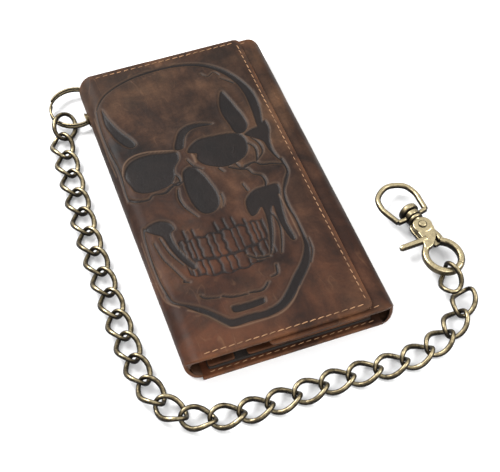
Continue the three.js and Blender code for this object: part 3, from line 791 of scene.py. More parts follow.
def leather_material(name, seed=0.5, light=1.0):
    """Oiled pull-up leather: mottled brown, orange where worn and near-black where burnished."""

    def shade(red, green, blue):
        return red * light, green * light, blue * light

    tree = Tree(name)
    cloud = tree.noise(17, 5, 0.6, seed=1.3 + seed)
    patch = tree.noise(45, 6, 0.65, seed=4.1 + seed, distortion=0.5)
    streak = tree.noise(60, 4, 0.6, stretch=(3.2, 0.6, 3), seed=7.7)
    grain = tree.noise(900, 3, 0.6, seed=2.2)
    pores = tree.cells(1500)
    brown = tree.ramp(cloud, [(0.38, shade(0.014, 0.0085, 0.0065)),
                              (0.5, shade(0.07, 0.034, 0.0185)),
                              (0.64, shade(0.19, 0.098, 0.05))])
    warm = tree.ramp(patch, [(0.38, shade(0.018, 0.0105, 0.0078)),
                             (0.52, shade(0.08, 0.036, 0.018)),
                             (0.66, shade(0.17, 0.088, 0.048))])
    base = tree.mix(0.5, brown, warm)
    streaks = tree.ramp(streak, [(0.4, 0.66), (0.6, 1.15)])
    base = tree.mix(0.6, base, streaks, "MULTIPLY")
    speckle = tree.ramp(grain, [(0.35, 0.7), (0.62, 1.16)])
    base = tree.mix(0.5, base, speckle, "MULTIPLY")
    # Pulled-up streaks where the hide was bent, redder and lighter than the rest.
    pull = tree.maths("MULTIPLY", tree.attribute("pull"), tree.ramp(patch, [(0.34, 0.3), (0.6, 1)]))
    base = tree.mix(tree.maths("MULTIPLY", pull, 0.75, True), base, shade(0.15, 0.043, 0.0165))
    smoke = tree.ramp(tree.noise(26, 5, 0.6, seed=12.5 + seed, distortion=0.6),
                      [(0.42, (0.36, 0.33, 0.34)), (0.56, (1.0, 1.0, 1.0)), (0.7, (1.25, 1.16, 1.06))])
    base = tree.mix(0.75, base, smoke, "MULTIPLY")
    wrinkle = tree.noise(44, 2, 0.5, stretch=(1.9, 0.7, 1.9), seed=5.5, distortion=0.35)
    wrinkle = tree.maths("ABSOLUTE", tree.maths("SUBTRACT", wrinkle, 0.5))
    cracks = tree.ramp(wrinkle, [(0.0, 1.0), (0.016, 0.0)])
    cracks = tree.maths("MULTIPLY", cracks, tree.ramp(cloud, [(0.44, 0.0), (0.6, 1.0)]))
    cracks = tree.maths("MULTIPLY", cracks, tree.ramp(streak, [(0.45, 0.1), (0.6, 1.0)]))
    base = tree.mix(tree.maths("MULTIPLY", cracks, 0.42, True), base, shade(0.3, 0.15, 0.075))
    edge = tree.maths("MULTIPLY", tree.attribute("edge"), tree.ramp(patch, [(0.35, 0.1), (0.6, 1)]))
    base = tree.mix(tree.maths("MULTIPLY", edge, 0.7, True), base, shade(0.3, 0.115, 0.042))
    dark = tree.attribute("dark")
    soot = tree.ramp(patch, [(0.3, (0.0055, 0.0045, 0.0045)), (0.7, (0.0115, 0.0085, 0.0078))])
    base = tree.mix(tree.maths("MULTIPLY", dark, 0.96, True), base, soot)
    # Painted highlight: lighter brown along the pressed rims and the hollows' edges.
    rim_highlight = tree.attribute("rim_highlight")
    base = tree.mix(tree.maths("MULTIPLY", rim_highlight, 0.45, True), base, (0.19, 0.115, 0.07))
    roughness = tree.ramp(patch, [(0.3, 0.48), (0.7, 0.66)])
    roughness = tree.mix(dark, roughness, (0.44, 0.44, 0.44))
    normal = tree.bump(pores, 0.2, 0.00022)
    normal = tree.bump(grain, 0.3, 0.0002, normal)
    normal = tree.bump(cracks, 0.3, 0.0002, normal)
    normal = tree.bump(tree.noise(130, 4, 0.6, seed=9.2), 0.35, 0.0006, normal)
    tree.feed(tree.shader.inputs["Specular IOR Level"], 0.2)
    return tree.finish(base, roughness, normal)


# ---- Other leather panels -----------------------------------------------------------------------
FLAP_END_INSET = 2.4
FLAP_SIDE_INSET = 2.6
PANEL_STEP = 2
PANEL_CORNER = 1.2


def flap_leather(material):
    """The right spine and the inner flap as one sheet bent round the fold."""
    arc = math.pi * RIGHT_RADIUS
    end = RIGHT_FOLD_X + arc + SEAM_REACH
    us = spread(edge_stops(FLAP_LOW.x, end, [(end - 2, 1.2)]))
    vs = spread(edge_stops(RIGHT_LOW.y, RIGHT_HIGH.y, [(RIGHT_HIGH.y - 3, 1.6)]))

    def relief(u, v):
        gap = np.minimum(np.abs(v - RIGHT_LOW.y - FLAP_END_INSET),
                         np.abs(RIGHT_HIGH.y - FLAP_END_INSET - v))
        height = -stitch_dent(gap) * (u < RIGHT_FOLD_X + 1)
        height -= stitch_dent(u - FLAP_LOW.x - FLAP_SIDE_INSET)
        return plain_relief(height)

    def drawn_in(u):
        return fold_end(np.clip((u - RIGHT_FOLD_X) / arc, 0, 1))

    thing = leather_shell("spine_and_flap", right_profile, us, vs, LEATHER, material,
                          relief=relief, corner=2.4, wave=0.1, seed=11.4, ends=drawn_in,
                          seams=("high",))
    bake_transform(thing)
    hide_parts("right_spine", "inner_flap")


def flat_profile(top, left):
    def profile(u):
        return left + u, np.full_like(u, top), np.zeros_like(u), np.ones_like(u)
    return profile


def flat_panel(node, name, body, material, stitches, seams):
    """A flat sheet cut to a node's box, with a dent along each stitch row.

    stitches holds (axis, place): axis "x" for a row along y at that x, "y" the other way."""
    low, high = box_mm(node)
    us = spread(edge_stops(0, high.x - low.x, [(high.x - low.x - 2, PANEL_STEP)]))
    vs = spread(edge_stops(low.y, high.y, [(high.y - 2, PANEL_STEP)]))

    def relief(u, v):
        height = np.zeros(len(u))
        for axis, place in stitches:
            gap = (low.x + u - place) if axis == "x" else (v - place)
            height -= stitch_dent(gap) * 0.8
        return plain_relief(height)

    thing = leather_shell(name, flat_profile(high.z, low.x), us, vs, high.z - low.z, material,
                          relief=relief, corner=PANEL_CORNER, wave=0.05, seed=low.x + high.z,
                          seams=seams)
    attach(thing, body)
    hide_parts(node)


# ---- Stitches -----------------------------------------------------------------------------------
STITCH_PITCH = 3.9
STITCH_LENGTH = 3.1
STITCH_THICKNESS = 0.56


class Bundle:
    """Collects many small meshes into one object."""

    def __init__(self):
        self.points = []
        self.faces = []
        self.count = 0

    def add(self, points, faces):
        self.points.append(np.asarray(points))
        self.faces.extend([tuple(index + self.count for index in face) for face in faces])
        self.count += len(points)

    def build(self, name, material):
        return make_object(name, np.concatenate(self.points) * MM, self.faces, material)


def ring_faces(rings, sides, closed=False):
    """Quads between rings of vertices, with a cap on each end unless the rings are closed."""
    faces = []
    for i in range(rings if closed else rings - 1):
        after = (i + 1) % rings
        for k in range(sides):
            turned = (k + 1) % sides
            faces.append((i * sides + k, after * sides + k, after * sides + turned,
                          i * sides + turned))
    if not closed:
        faces.append(tuple(range(sides))[::-1])
        faces.append(tuple((rings - 1) * sides + k for k in range(sides)))
    return faces


def tube(path, radii, sides=8, closed=False, flatten=1.0, guide=(0.0, 0.0, 1.0)):
    """(points, faces) of a tube along a path in mm; radii is one number or one per place."""
    path = np.asarray(path, dtype=float)
    count = len(path)
    radii = np.broadcast_to(radii, (count,))
    if closed:
        ahead = np.roll(path, -1, axis=0) - np.roll(path, 1, axis=0)
    else:
        ahead = np.gradient(path, axis=0)
    ahead /= np.linalg.norm(ahead, axis=1)[:, None]
    side = np.array(guide, dtype=float)
    if abs(ahead[0] @ side) > 0.95:
        side = np.array((1.0, 0.0, 0.0))
    frames = []
    for direction in ahead:
        side = side - direction * (side @ direction)
        side /= np.linalg.norm(side)
        frames.append(side.copy())
    frames = np.array(frames)
    across = np.cross(ahead, frames)
    if closed:
        # Spreads the frame's leftover turn evenly so that the ring's seam doesn't show.
        last = frames[-1] - ahead[0] * (frames[-1] @ ahead[0])
        last /= np.linalg.norm(last)
        slip = math.atan2(last @ across[0], last @ frames[0])
        turn = -slip * np.arange(count) / count
        cos, sin = np.cos(turn)[:, None], np.sin(turn)[:, None]
        frames, across = frames * cos + across * sin, across * cos - frames * sin
    angles = np.arange(sides) / sides * 2 * math.pi
    ring = (np.cos(angles)[None, :, None] * frames[:, None, :] * flatten
            + np.sin(angles)[None, :, None] * across[:, None, :])
    points = (path[:, None, :] + ring * radii[:, None, None]).reshape(-1, 3)
    return points, ring_faces(count, sides, closed)


def stitch(bundle, start, end, rng, thickness=STITCH_THICKNESS, sink=0.12):
    """One thread from hole to hole: it rises from the hole, lies flat and goes down again."""
    start, end = np.array(start), np.array(end)
    steps = 9
    shares = np.linspace(0, 1, steps)
    lift = thickness * 0.5 * np.sqrt(np.maximum(1 - np.abs(shares * 2 - 1) ** 4, 0)) - sink
    path = start + (end - start) * shares[:, None]
    path[:, 2] += lift + rng.uniform(-0.04, 0.04)
    radii = thickness / 2 * (0.55 + 0.45 * np.sin(shares * math.pi) ** 0.4)
    bundle.add(*tube(path, radii, sides=6))


def stitch_row(name, start, end, body, material, seed, slant=0.16, thickness=STITCH_THICKNESS):
    """A row of stitches from start to end (mm), each a little slanted as saddle stitch is."""
    rng = np.random.default_rng(seed)
    start, end = np.array(start, dtype=float), np.array(end, dtype=float)
    length = np.linalg.norm(end - start)
    along = (end - start) / length
    across = np.array((-along[1], along[0], 0))
    bundle = Bundle()
    count = int(length / STITCH_PITCH)
    first = (length - count * STITCH_PITCH) / 2
    for k in range(count):
        at = first + k * STITCH_PITCH + (STITCH_PITCH - STITCH_LENGTH) / 2
        size = STITCH_LENGTH + rng.uniform(-0.25, 0.2)
        tilt = slant + rng.uniform(-0.06, 0.06)
        stitch(bundle, start + along * at - across * tilt,
               start + along * (at + size) + across * tilt, rng, thickness)
    thing = bundle.build(name, material)
    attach(thing, body)
    return thing


def thread_material(name, colour):
    tree = Tree(name)
    twist = tree.nodes.new("ShaderNodeTexWave")
    twist.wave_type = "BANDS"
    twist.bands_direction = "DIAGONAL"
    twist.inputs["Scale"].default_value = 900
    twist.inputs["Distortion"].default_value = 1.5
    tree.link(tree.position, twist.inputs["Vector"])
    patch = tree.noise(120, 3, 0.6, seed=3)
    dark = tuple(part * 0.5 for part in colour)
    base = tree.ramp(patch, [(0.35, dark), (0.6, colour)])
    strands = tree.ramp(twist.outputs["Fac"], [(0.1, 0.6), (0.6, 1.1)])
    base = tree.mix(0.5, base, strands, "MULTIPLY")
    return tree.finish(base, 0.75, tree.bump(twist.outputs["Fac"], 0.5, 0.00012))


# ---- Chain -----------------------------------------------------------------------------------
WIRE_RADIUS = 1.08
SIDE_SWELL = 0.22
LINK_HALF_LENGTH = 8
LINK_HALF_WIDTH = 5.3
LINK_NEAR_TWIST = 45
LINK_FAR_TWIST = -45
LAST_LINK = "chain_link_27"
LAST_LINK_HEADING = 78
LAST_LINK_ROLL = 38
LAST_LINK_PLACE = (83.2, -85.3, 5.8)
JUMP_HALF_LENGTH = 8
JUMP_HALF_WIDTH = 6
JUMP_HEADING = -123
JUMP_TWIST = -37
JUMP_SEED = 77
JUMP_PLACE = (-64.2, 74, 4.8)
LINK_NAMES = [f"chain_link_{number:02d}" for number in range(1, 28)]


def link_path(half_length, half_width, near_twist, far_twist, steps):
    """A curb link's centre line: an oval whose two ends are twisted against each other."""
    turn = np.arange(steps) / steps * 2 * math.pi
    share = (1 + np.cos(turn)) / 2
    twist = np.radians(near_twist + (far_twist - near_twist) * share)
    return np.stack([half_length * np.cos(turn), half_width * np.sin(turn) * np.cos(twist),
                     half_width * np.sin(turn) * np.sin(twist)], axis=1)


def placed(points, heading, place):
    turn = math.radians(heading)
    x = points[:, 0] * math.cos(turn) - points[:, 1] * math.sin(turn)
    y = points[:, 0] * math.sin(turn) + points[:, 1] * math.cos(turn)
    return np.stack([x, y, points[:, 2]], axis=1) + np.array(place)


def node_middle(node):
    low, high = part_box(node)
    return (np.array(low) + np.array(high)) / 2 / MM


def wire_link(node, half_length, half_width, near_twist, far_twist, heading, place, material,
              seed):
    """One bent wire link with the faint dents and closed joint of a drawn chain."""
    rng = np.random.default_rng(seed)
    steps = 56
    path = placed(link_path(half_length, half_width, near_twist, far_twist, steps), heading,
                  place)
    turn = np.arange(steps) / steps * 2 * math.pi
    radii = WIRE_RADIUS * (1 + SIDE_SWELL * np.sin(turn) ** 4)
    radii = radii * (0.99 + 0.01 * np.sin(turn * 2 + rng.uniform(0, 6)))
    joint = np.abs(turn - math.pi / 2 + rng.uniform(-0.1, 0.1))
    radii = radii * (1 - 0.09 * np.exp(-(joint / 0.09) ** 2))
    points, faces = tube(path, radii, sides=14, closed=True)
    thing = make_object(node + "_wire", points * MM, faces, material)
    dress(thing, node, node)


def chain(material):
    places = {name: node_middle(name) for name in LINK_NAMES}
    routed = LINK_NAMES[:-1]
    for index, name in enumerate(LINK_NAMES):
        place = places[name]
        roll = 0
        if name == LAST_LINK:
            heading = LAST_LINK_HEADING
            roll = LAST_LINK_ROLL
            place = LAST_LINK_PLACE
        else:
            ahead = places[routed[min(index + 1, len(routed) - 1)]]
            behind = places[routed[max(index - 1, 0)]]
            heading = math.degrees(math.atan2(ahead[1] - behind[1], ahead[0] - behind[0]))
        wire_link(name, LINK_HALF_LENGTH, LINK_HALF_WIDTH, LINK_NEAR_TWIST - roll,
                  LINK_FAR_TWIST - roll, heading, place, material, index)
    wire_link("jump_link", JUMP_HALF_LENGTH, JUMP_HALF_WIDTH, JUMP_TWIST, JUMP_TWIST,
              JUMP_HEADING, JUMP_PLACE, material, JUMP_SEED)


# ---- Split ring and eyelet ---------------------------------------------------------------------
RING_CENTRE = (-55.8, 85.6, 4.6)
RING_RADIUS = 13
RING_WIRE = 1.5
RING_START = 148
RING_RISE = 1.85
RING_TURNS = 2
RING_WIRE_SHARE = 0.93


def split_ring(material):
    """Two flat-lying turns of spring wire with plainly cut ends."""
    steps = 150
    share = np.linspace(0, 1, steps)
    turn = np.radians(RING_START) + share * RING_TURNS * 2 * math.pi
    height = (share - 0.5) * RING_TURNS * RING_RISE
    path = np.stack([RING_CENTRE[0] + RING_RADIUS * np.cos(turn),
                     RING_CENTRE[1] + RING_RADIUS * np.sin(turn),
                     RING_CENTRE[2] + height], axis=1)
    low, high = (np.array(end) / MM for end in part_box("split_ring"))
    path[:, 2] += (low[2] + high[2]) / 2 - path[:, 2].mean()
    radii = np.full(steps, RING_WIRE / 2 * RING_WIRE_SHARE)
    radii[[0, -1]] *= 0.6
    points, faces = tube(path, radii, sides=16)
    thing = make_object("split_ring_wire", points * MM, faces, material)
    dress(thing, "ring", "split_ring")


def lathe(profile, sides, axis_from, axis_to):
    """(points, faces) of a closed (radius, along) outline turned about an axis in mm."""
    start = np.array(axis_from, dtype=float)
    along = np.array(axis_to, dtype=float) - start
    along /= np.linalg.norm(along)
    side = np.cross(along, (0, 1, 0))
    if np.linalg.norm(side) < 0.2:
        side = np.cross(along, (1, 0, 0))
    side /= np.linalg.norm(side)
    other = np.cross(along, side)
    angles = np.arange(sides) / sides * 2 * math.pi
    points = []
    for radius, place in profile:
        ring = np.cos(angles)[:, None] * side + np.sin(angles)[:, None] * other
        points.append(start + along * place + ring * radius)
    return np.concatenate(points), ring_faces(len(profile), sides, closed=True)


# ---- Swivel hook --------------------------------------------------------------------------------
HOOK_PLACE = (83.6, -52.8, 5.7)
HOOK_TURN = 12
LOOP_CENTRE = (-2, -19.7)
LOOP_RADII = (8.2, 9.4)
ARM_WIDTH = 3.6
ARM_HEIGHT = 4.4
CAST_VOXEL = 0.18
PLATE_PARTS = 5


def from_hook(points):
    return placed(np.asarray(points, dtype=float), HOOK_TURN, HOOK_PLACE)


def loop_arc(start, end, steps):
    angles = np.radians(np.linspace(start, end, steps))
    return np.stack([LOOP_CENTRE[0] + LOOP_RADII[0] * np.cos(angles),
                     LOOP_CENTRE[1] + LOOP_RADII[1] * np.sin(angles), np.zeros(steps)], axis=1)


def rounded_bar(path, width, height, sides=16, power=2.4, taper=None):
    """A swept bar with a rounded-square section: width lies in the hook's plane."""
    path = np.asarray(path, dtype=float)
    ahead = np.gradient(path, axis=0)
    ahead /= np.linalg.norm(ahead, axis=1)[:, None]
    up = np.array((0, 0, 1.0)) - ahead * ahead[:, 2:3]
    up /= np.linalg.norm(up, axis=1)[:, None]
    across = np.cross(ahead, up)
    angles = np.arange(sides) / sides * 2 * math.pi
    cos, sin = np.cos(angles), np.sin(angles)
    section_x = np.sign(cos) * np.abs(cos) ** (2 / power)
    section_z = np.sign(sin) * np.abs(sin) ** (2 / power)
    scale = np.ones(len(path)) if taper is None else np.asarray(taper)
    widths = scale * width / 2
    heights = scale * height / 2
    points = (path[:, None, :] + across[:, None, :] * (section_x[None, :] * widths[:, None])[..., None]
              + up[:, None, :] * (section_z[None, :] * heights[:, None])[..., None])
    return points.reshape(-1, 3), ring_faces(len(path), sides)


def plate(outline, low, high, bevel=0.35, parts=PLATE_PARTS):
    """A thick plate with a smooth outline and rolled edges, as (points, faces)."""
    line = smooth_line(outline, True, parts)
    middle = line.mean(axis=0)
    ahead = np.roll(line, -1, axis=0) - np.roll(line, 1, axis=0)
    inward = np.stack([-ahead[:, 1], ahead[:, 0]], axis=1)
    inward /= np.linalg.norm(inward, axis=1)[:, None]
    area = np.sum(line[:, 0] * np.roll(line[:, 1], -1) - np.roll(line[:, 0], -1) * line[:, 1])
    if area < 0:
        inward = -inward
    levels = [(bevel * 1.6, low), (bevel * 0.35, low + bevel * 0.3), (0, low + bevel),
              (0, high - bevel), (bevel * 0.35, high - bevel * 0.3), (bevel * 1.6, high)]
    points = [np.column_stack([line + inward * inset, np.full(len(line), z)])
              for inset, z in levels]
    count = len(line)
    faces = []
    for i in range(len(levels) - 1):
        for k in range(count):
            turned = (k + 1) % count
            faces.append((i * count + k, i * count + turned, (i + 1) * count + turned,
                          (i + 1) * count + k))
    total = count * len(levels)
    points.append(np.array([(*middle, low), (*middle, high)]))
    for k in range(count):
        turned = (k + 1) % count
        faces.append((turned, k, total))
        faces.append((total - count + k, total - count + turned, total + 1))
    return np.concatenate(points), faces


def disc(radius, low, high, centre=(0, 0), dome=0.3, sides=40):
    """A round plate with a softly domed top, as (points, faces), about the local Z axis."""
    profile = [(0.001, low), (radius * 0.9, low), (radius * 0.98, low + 0.1),
               (radius, low + 0.3), (radius, high - dome * 1.4),
               (radius * 0.965, high - dome * 0.7), (radius * 0.88, high - dome * 0.3),
               (radius * 0.5, high), (0.001, high)]
    return lathe(profile, sides, (*centre, 0), (*centre, 1))


def cast_object(name, parts, body, node, material):
    """Joins overlapping parts into one cast-looking skin and smooths its corners."""
    bundle = Bundle()
    for points, faces in parts:
        bundle.add(from_hook(points), faces)
    thing = bundle.build(name, material)
    remesh = thing.modifiers.new("skin", "REMESH")
    remesh.mode = "VOXEL"
    remesh.voxel_size = CAST_VOXEL * MM
    remesh.use_smooth_shade = True
    soften = thing.modifiers.new("soften", "SMOOTH")
    soften.factor = 0.5
    soften.iterations = 5
    graph = bpy.context.evaluated_depsgraph_get()
    mesh = bpy.data.meshes.new_from_object(thing.evaluated_get(graph))
    mesh.materials.clear()
    mesh.materials.append(material)
    thing.modifiers.clear()
    thing.data = mesh
    dress(thing, body, node)


def hook_body(material):
    arm = loop_arc(60, -60, 40)
    plate_outline = [(-4.4, 4), (0, 4.8), (4.4, 4), (5.4, 1), (5.2, -4), (5.2, -8), (4.6, -11.5),
                     (1.6, -12.2), (-1, -11.5), (-1.5, -7), (-4.6, -6.5), (-5.3, -2)]
    neck = lathe([(0.001, 2.2), (2.6, 2.5), (2.6, 3.6), (3, 4.5), (3.9, 4.7), (4.1, 5.2),
                  (4.1, 5.9), (3.8, 6.3), (3, 6.4), (0.001, 6.4)], 36, (0, 0, 0), (0, 1, 0))
    shoulder = rounded_bar([(3.1, -3, -1.2), (3.6, -8, -0.8), (3, -11.6, -0.2)], 3.4, 3.8)
    parts = [rounded_bar(arm, ARM_WIDTH, ARM_HEIGHT), plate(plate_outline, -3, -0.9), neck,
             shoulder, rounded_bar([(0, 3.6, -2), (0, 1, -2)], 6.4, 2.4)]
    cast_object("hook_casting", parts, "hook", "hook_body", material)


def hook_gate(material):
    arm = loop_arc(118, 300, 56)
    lever = [(-3, -7.6, 0.9), (-5, -7.3, 0.85), (-7, -7, 0.6), (-11.5, -6.1, 0.2),
             (-15.8, -5.3, 0), (-17, -5.1, 0)]
    web = [(-4.2, -2), (-1, -3.4), (4.2, -2), (3.2, -6), (1.2, -9.2), (-1.6, -11.8), (-4.4, -13),
           (-7, -12.6), (-6.4, -9.6), (-5, -7)]
    parts = [rounded_bar(arm, ARM_WIDTH, ARM_HEIGHT), disc(4.8, 0.0, 2.7),
             plate(web, -0.4, 2.3, bevel=0.4),
             rounded_bar(lever, 3.2, 3.8, taper=[1, 1, 0.98, 0.96, 0.92, 0.6])]
    cast_object("hook_gate", parts, "gate", "gate", material)


def hook_rivet(material):
    """A peened rivet: a domed head on top and a flatter one below, with the pin between."""
    outline = [(0.001, -4), (1.7, -4), (2, -3.8), (2, -3.4), (1.3, -3.2), (1.3, 2.8), (2.1, 2.8),
               (2.15, 3.1), (1.9, 3.5), (1.2, 3.7), (0.5, 3.62), (0.001, 3.55)]
    points, faces = lathe(outline, 36, (0, 0, 0), (0, 0, 1))
    thing = make_object("hook_rivet", from_hook(points) * MM, faces, material)
    dress(thing, "hook", "gate_rivet")


def hook_spring(material):
    """A flat coil of two turns round the rivet."""
    turns = 2
    share = np.linspace(0, 1, 90)
    angles = share * turns * 2 * math.pi
    radius = 1.9 + share * 0.95
    path = np.stack([radius * np.cos(angles), radius * np.sin(angles), share * 0.1 - 0.1], axis=1)
    points, faces = tube(path, 0.2, sides=8)
    thing = make_object("hook_spring", from_hook(points) * MM, faces, material)
    dress(thing, "hook", "gate_spring")


def swivel(material):
    outline = [(0.001, 6.5), (1.5, 6.5), (1.5, 9.7), (4.5, 9.75), (5.05, 10), (5.15, 10.5),
               (5.1, 12), (4.9, 12.5), (4.3, 12.95), (2.6, 13.2), (0.001, 13.25)]
    points, faces = lathe(outline, 40, (0, 0, 0), (0, 1, 0))
    post = make_object("swivel_post", from_hook(points) * MM, faces, material)
    dress(post, "hook", "swivel_post")
    half = [(8.2, 8.4, 0), (9.3, 14, 0), (10, 20, 0), (7.6, 26.5, 0), (0, 30, 0)]
    around = half + [(-x, y, z) for x, y, z in half[-2::-1]]
    bow = smooth_line(around, False, 10)
    bore = 1.9
    boss = lathe([(bore, 6.75), (3.9, 6.75), (4.2, 7), (4.3, 9), (4.1, 9.25), (bore, 9.25)], 36,
                 (0, 0, 0), (0, 1, 0))
    parts = [tube(bow, 1.5, sides=16)]
    for end in (-1, 1):
        path = [(end * 2.4, 7.95, 0), (end * 5, 8, 0), (end * 8.3, 8.3, 0)]
        parts.append(rounded_bar(path, 2.6, 3, taper=[0.85, 0.95, 1]))
    parts.append(boss)
    cast_object("swivel_eye_casting", parts, "eye", "swivel_eye", material)


def eyelet_rings(material):
    """The rolled eyelet in the spine that the split ring passes through."""
    low, high = (np.array(end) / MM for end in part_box("eyelet"))
    middle = (low + high) / 2
    tilt = math.radians(24)
    along = np.array((-math.cos(tilt), 0, -math.sin(tilt)))
    hole = 3.2
    outline = [(hole, -2.6), (hole + 0.15, -1), (hole, 0.9), (hole + 0.2, 1.3), (hole + 0.6, 1.4),
               (hole + 1.1, 1.25), (hole + 1.25, 1), (hole + 0.5, 0.85), (hole + 0.45, -2.6)]
    fold = np.array((LEFT_FOLD_CENTRE, middle[1], FOLD_RADIUS))
    points, faces = lathe([(radius, FOLD_RADIUS - 1 + place) for radius, place in outline], 40,
                          fold, fold + along)
    thing = make_object("eyelet_ring", points * MM, faces, material)
    dress(thing, "wallet_body", "eyelet")


def brass_material(name, polish=0.0, seed=0.0):
    """Antique brass: lighter where it faces up and darker on the sides, a painted highlight and
    painted shade mixed with rubbed wear and patina.
    """
    tree = Tree(name)
    cloud = tree.noise(110, 5, 0.65, seed=seed + 1)
    fine = tree.noise(700, 4, 0.65, seed=seed + 2)
    scratch = tree.noise(500, 3, 0.6, stretch=(1, 9, 1), seed=seed + 5)
    # How far each place faces up sets a painted highlight on top and painted shade on the sides.
    up = tree.maths("POWER", tree.maths("MAXIMUM", tree.attribute("up"), 0.0), 2.2)
    up = tree.maths("MULTIPLY", up, 0.52)
    wear_and_highlight = tree.maths("ADD", up, tree.maths("MULTIPLY", cloud, 0.5))
    wear_and_highlight = tree.maths("ADD", wear_and_highlight, tree.maths("MULTIPLY", fine, 0.25))
    wear_and_highlight = tree.maths("ADD", wear_and_highlight, polish, True)
    # The dark colour is painted shade with patina, the bright one a painted highlight on rubbed brass.
    dark = (0.016, 0.0135, 0.0105)
    middle = (0.13, 0.1, 0.055)
    rub_and_highlight = (0.66, 0.55, 0.33)
    base = tree.ramp(wear_and_highlight, [(0.5, dark), (0.72, middle), (0.9, rub_and_highlight)])
    tarnish = tree.ramp(fine, [(0.4, 0.7), (0.64, 1.08)])
    base = tree.mix(0.7, base, tarnish, "MULTIPLY")
    roughness = tree.ramp(wear_and_highlight, [(0.5, 0.52), (0.9, 0.27)])
    normal = tree.bump(scratch, 0.16, 0.0001, tree.bump(cloud, 0.3, 0.0005))
    return tree.finish(base, roughness, normal, 0.9)


# ---- Zip -----------------------------------------------------------------------------------------
TOOTH_PITCH = 2.0
TOOTH_LENGTH = 1.3
ZIP_X = -24


def zip_tape(node, name, material):
    """A woven tape: a thin strip with a raised cord along its inner edge."""
    low, high = box_mm(node)
    inner_x = low.x if abs(low.x - ZIP_X) < abs(high.x - ZIP_X) else high.x
    us = spread([0, (high.x - low.x, 0.5)])
    vs = spread([low.y, (high.y, 1.5)])

    def relief(u, v):
        cord = 0.3 * np.exp(-((low.x + u - inner_x) / 0.7) ** 2)
        return plain_relief(cord - 0.12)

    thing = leather_shell(name, flat_profile(high.z, low.x), us, vs, (high.z - low.z) * 0.8,
                          material, relief=relief, wave=0.02)
    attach(thing, "wallet_body")
    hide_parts(node)


def zip_teeth(node, name, side, material):
    """Cast teeth: each has a square foot on the tape and a rounded head."""
    low, high = box_mm(node)
    bundle = Bundle()
    shift = 0 if side < 0 else TOOTH_PITCH / 2
    count = int((high.y - low.y - TOOTH_LENGTH - shift) / TOOTH_PITCH) + 1
    middle_z = (low.z + high.z) / 2
    for k in range(count):
        y = low.y + TOOTH_LENGTH / 2 + shift + k * TOOTH_PITCH
        foot = low.x + 0.1 if side < 0 else high.x - 0.1
        head = high.x - 0.1 if side < 0 else low.x + 0.1
        span = head - foot
        path = [(foot + span * share, y, middle_z) for share in (0, 0.1, 0.5, 0.68, 0.9, 1)]
        bundle.add(*rounded_bar(path, TOOTH_LENGTH, high.z - low.z, sides=12,
                                taper=(0.7, 0.95, 0.95, 0.78, 0.88, 0.55)))
    thing = bundle.build(name, material)
    dress(thing, "wallet_body", node)


def zip_stop(node, name, material):
    low, high = box_mm(node)
    middle = (low + high) / 2
    path = [(low.x + 0.1, middle.y, middle.z), (low.x + 0.5, middle.y, middle.z),
            (middle.x, middle.y, middle.z + 0.05), (high.x - 0.5, middle.y, middle.z),
            (high.x - 0.1, middle.y, middle.z)]
    bundle = Bundle()
    bundle.add(*rounded_bar(path, high.y - low.y - 0.1, high.z - low.z, sides=20,
                            taper=(0.75, 1, 0.9, 1, 0.75)))
    thing = bundle.build(name, material)
    dress(thing, "wallet_body", node)


def zip_slider(material):
    """A shield-shaped slider with an arched bridge."""
    low, high = box_mm("zip_slider")
    middle = (low + high) / 2
    half_x, half_y = (high.x - low.x) / 2, (high.y - low.y) / 2
    shield = [(-half_x * 0.72, -half_y), (0, -half_y), (half_x * 0.72, -half_y),
              (half_x * 0.95, -half_y * 0.3), (half_x, half_y * 0.5), (half_x * 0.6, half_y * 0.95),
              (0, half_y * 0.7), (-half_x * 0.6, half_y * 0.95), (-half_x, half_y * 0.5),
              (-half_x * 0.95, -half_y * 0.3)]
    bundle = Bundle()
    points, faces = plate(shield, low.z, low.z + 1, bevel=0.2)
    bundle.add(points + np.array((middle.x, middle.y, 0)), faces)
    arch = [(middle.x, middle.y - 2.3, low.z + 0.6), (middle.x, middle.y - 2.35, high.z - 1),
            (middle.x, middle.y - 1.7, high.z - 0.55), (middle.x, middle.y, high.z - 0.45),
            (middle.x, middle.y + 1.7, high.z - 0.55), (middle.x, middle.y + 2.35, high.z - 1),
            (middle.x, middle.y + 2.3, low.z + 0.6)]
    smooth_arch = smooth_line(arch, False, 5)
    bundle.add(*tube(smooth_arch, 0.55, sides=14, guide=(1, 0, 0), flatten=1.5))
    thing = bundle.build("zip_slider_casting", material)
    dress(thing, "slider", "zip_slider")


def zip_puller(material):
    """The flat pull: a tongue with a window at its head."""
    low, high = box_mm("zip_puller")
    middle_x = (low.x + high.x) / 2
    height = high.z - low.z
    radius = (high.x - low.x) / 2 - height / 2
    tip = low.y + radius + height / 2
    head = high.y - height / 2
    turn = np.radians(np.linspace(180, 360, 15))
    outline = [(middle_x - radius * 0.85, head, 0)]
    outline += [(middle_x + radius * math.cos(a), tip + radius * math.sin(a), 0) for a in turn]
    outline += [(middle_x + radius * 0.85, head, 0)]
    path = np.array(outline) + np.array((0, 0, (low.z + high.z) / 2))
    bundle = Bundle()
    bundle.add(*tube(np.concatenate([path, path[:1] + (0.6, 0, 0)]), height / 2, sides=12))
    bundle.add(*tube([path[-1], path[0]], height / 2, sides=12))
    web = [(middle_x - radius * 0.86, head - 4.2), (middle_x + radius * 0.86, head - 4.2),
           (middle_x + radius * 0.95, tip + 2), (middle_x + radius, tip),
           (middle_x + radius * 0.7, tip - radius * 0.7), (middle_x, tip - radius),
           (middle_x - radius * 0.7, tip - radius * 0.7), (middle_x - radius, tip),
           (middle_x - radius * 0.95, tip + 2)]
    bundle.add(*plate(web, low.z + 0.12, high.z - 0.12, bevel=0.08, parts=4))
    for place in (tip + 1, tip + 4, tip + 7):
        ridge = [(middle_x - radius * 0.6, place, high.z - 0.2),
                 (middle_x + radius * 0.6, place, high.z - 0.2)]
        bundle.add(*tube(np.linspace(ridge[0], ridge[1], 6), 0.22, sides=8))
    thing = bundle.build("zip_puller_casting", material)
    dress(thing, "puller", "zip_puller")


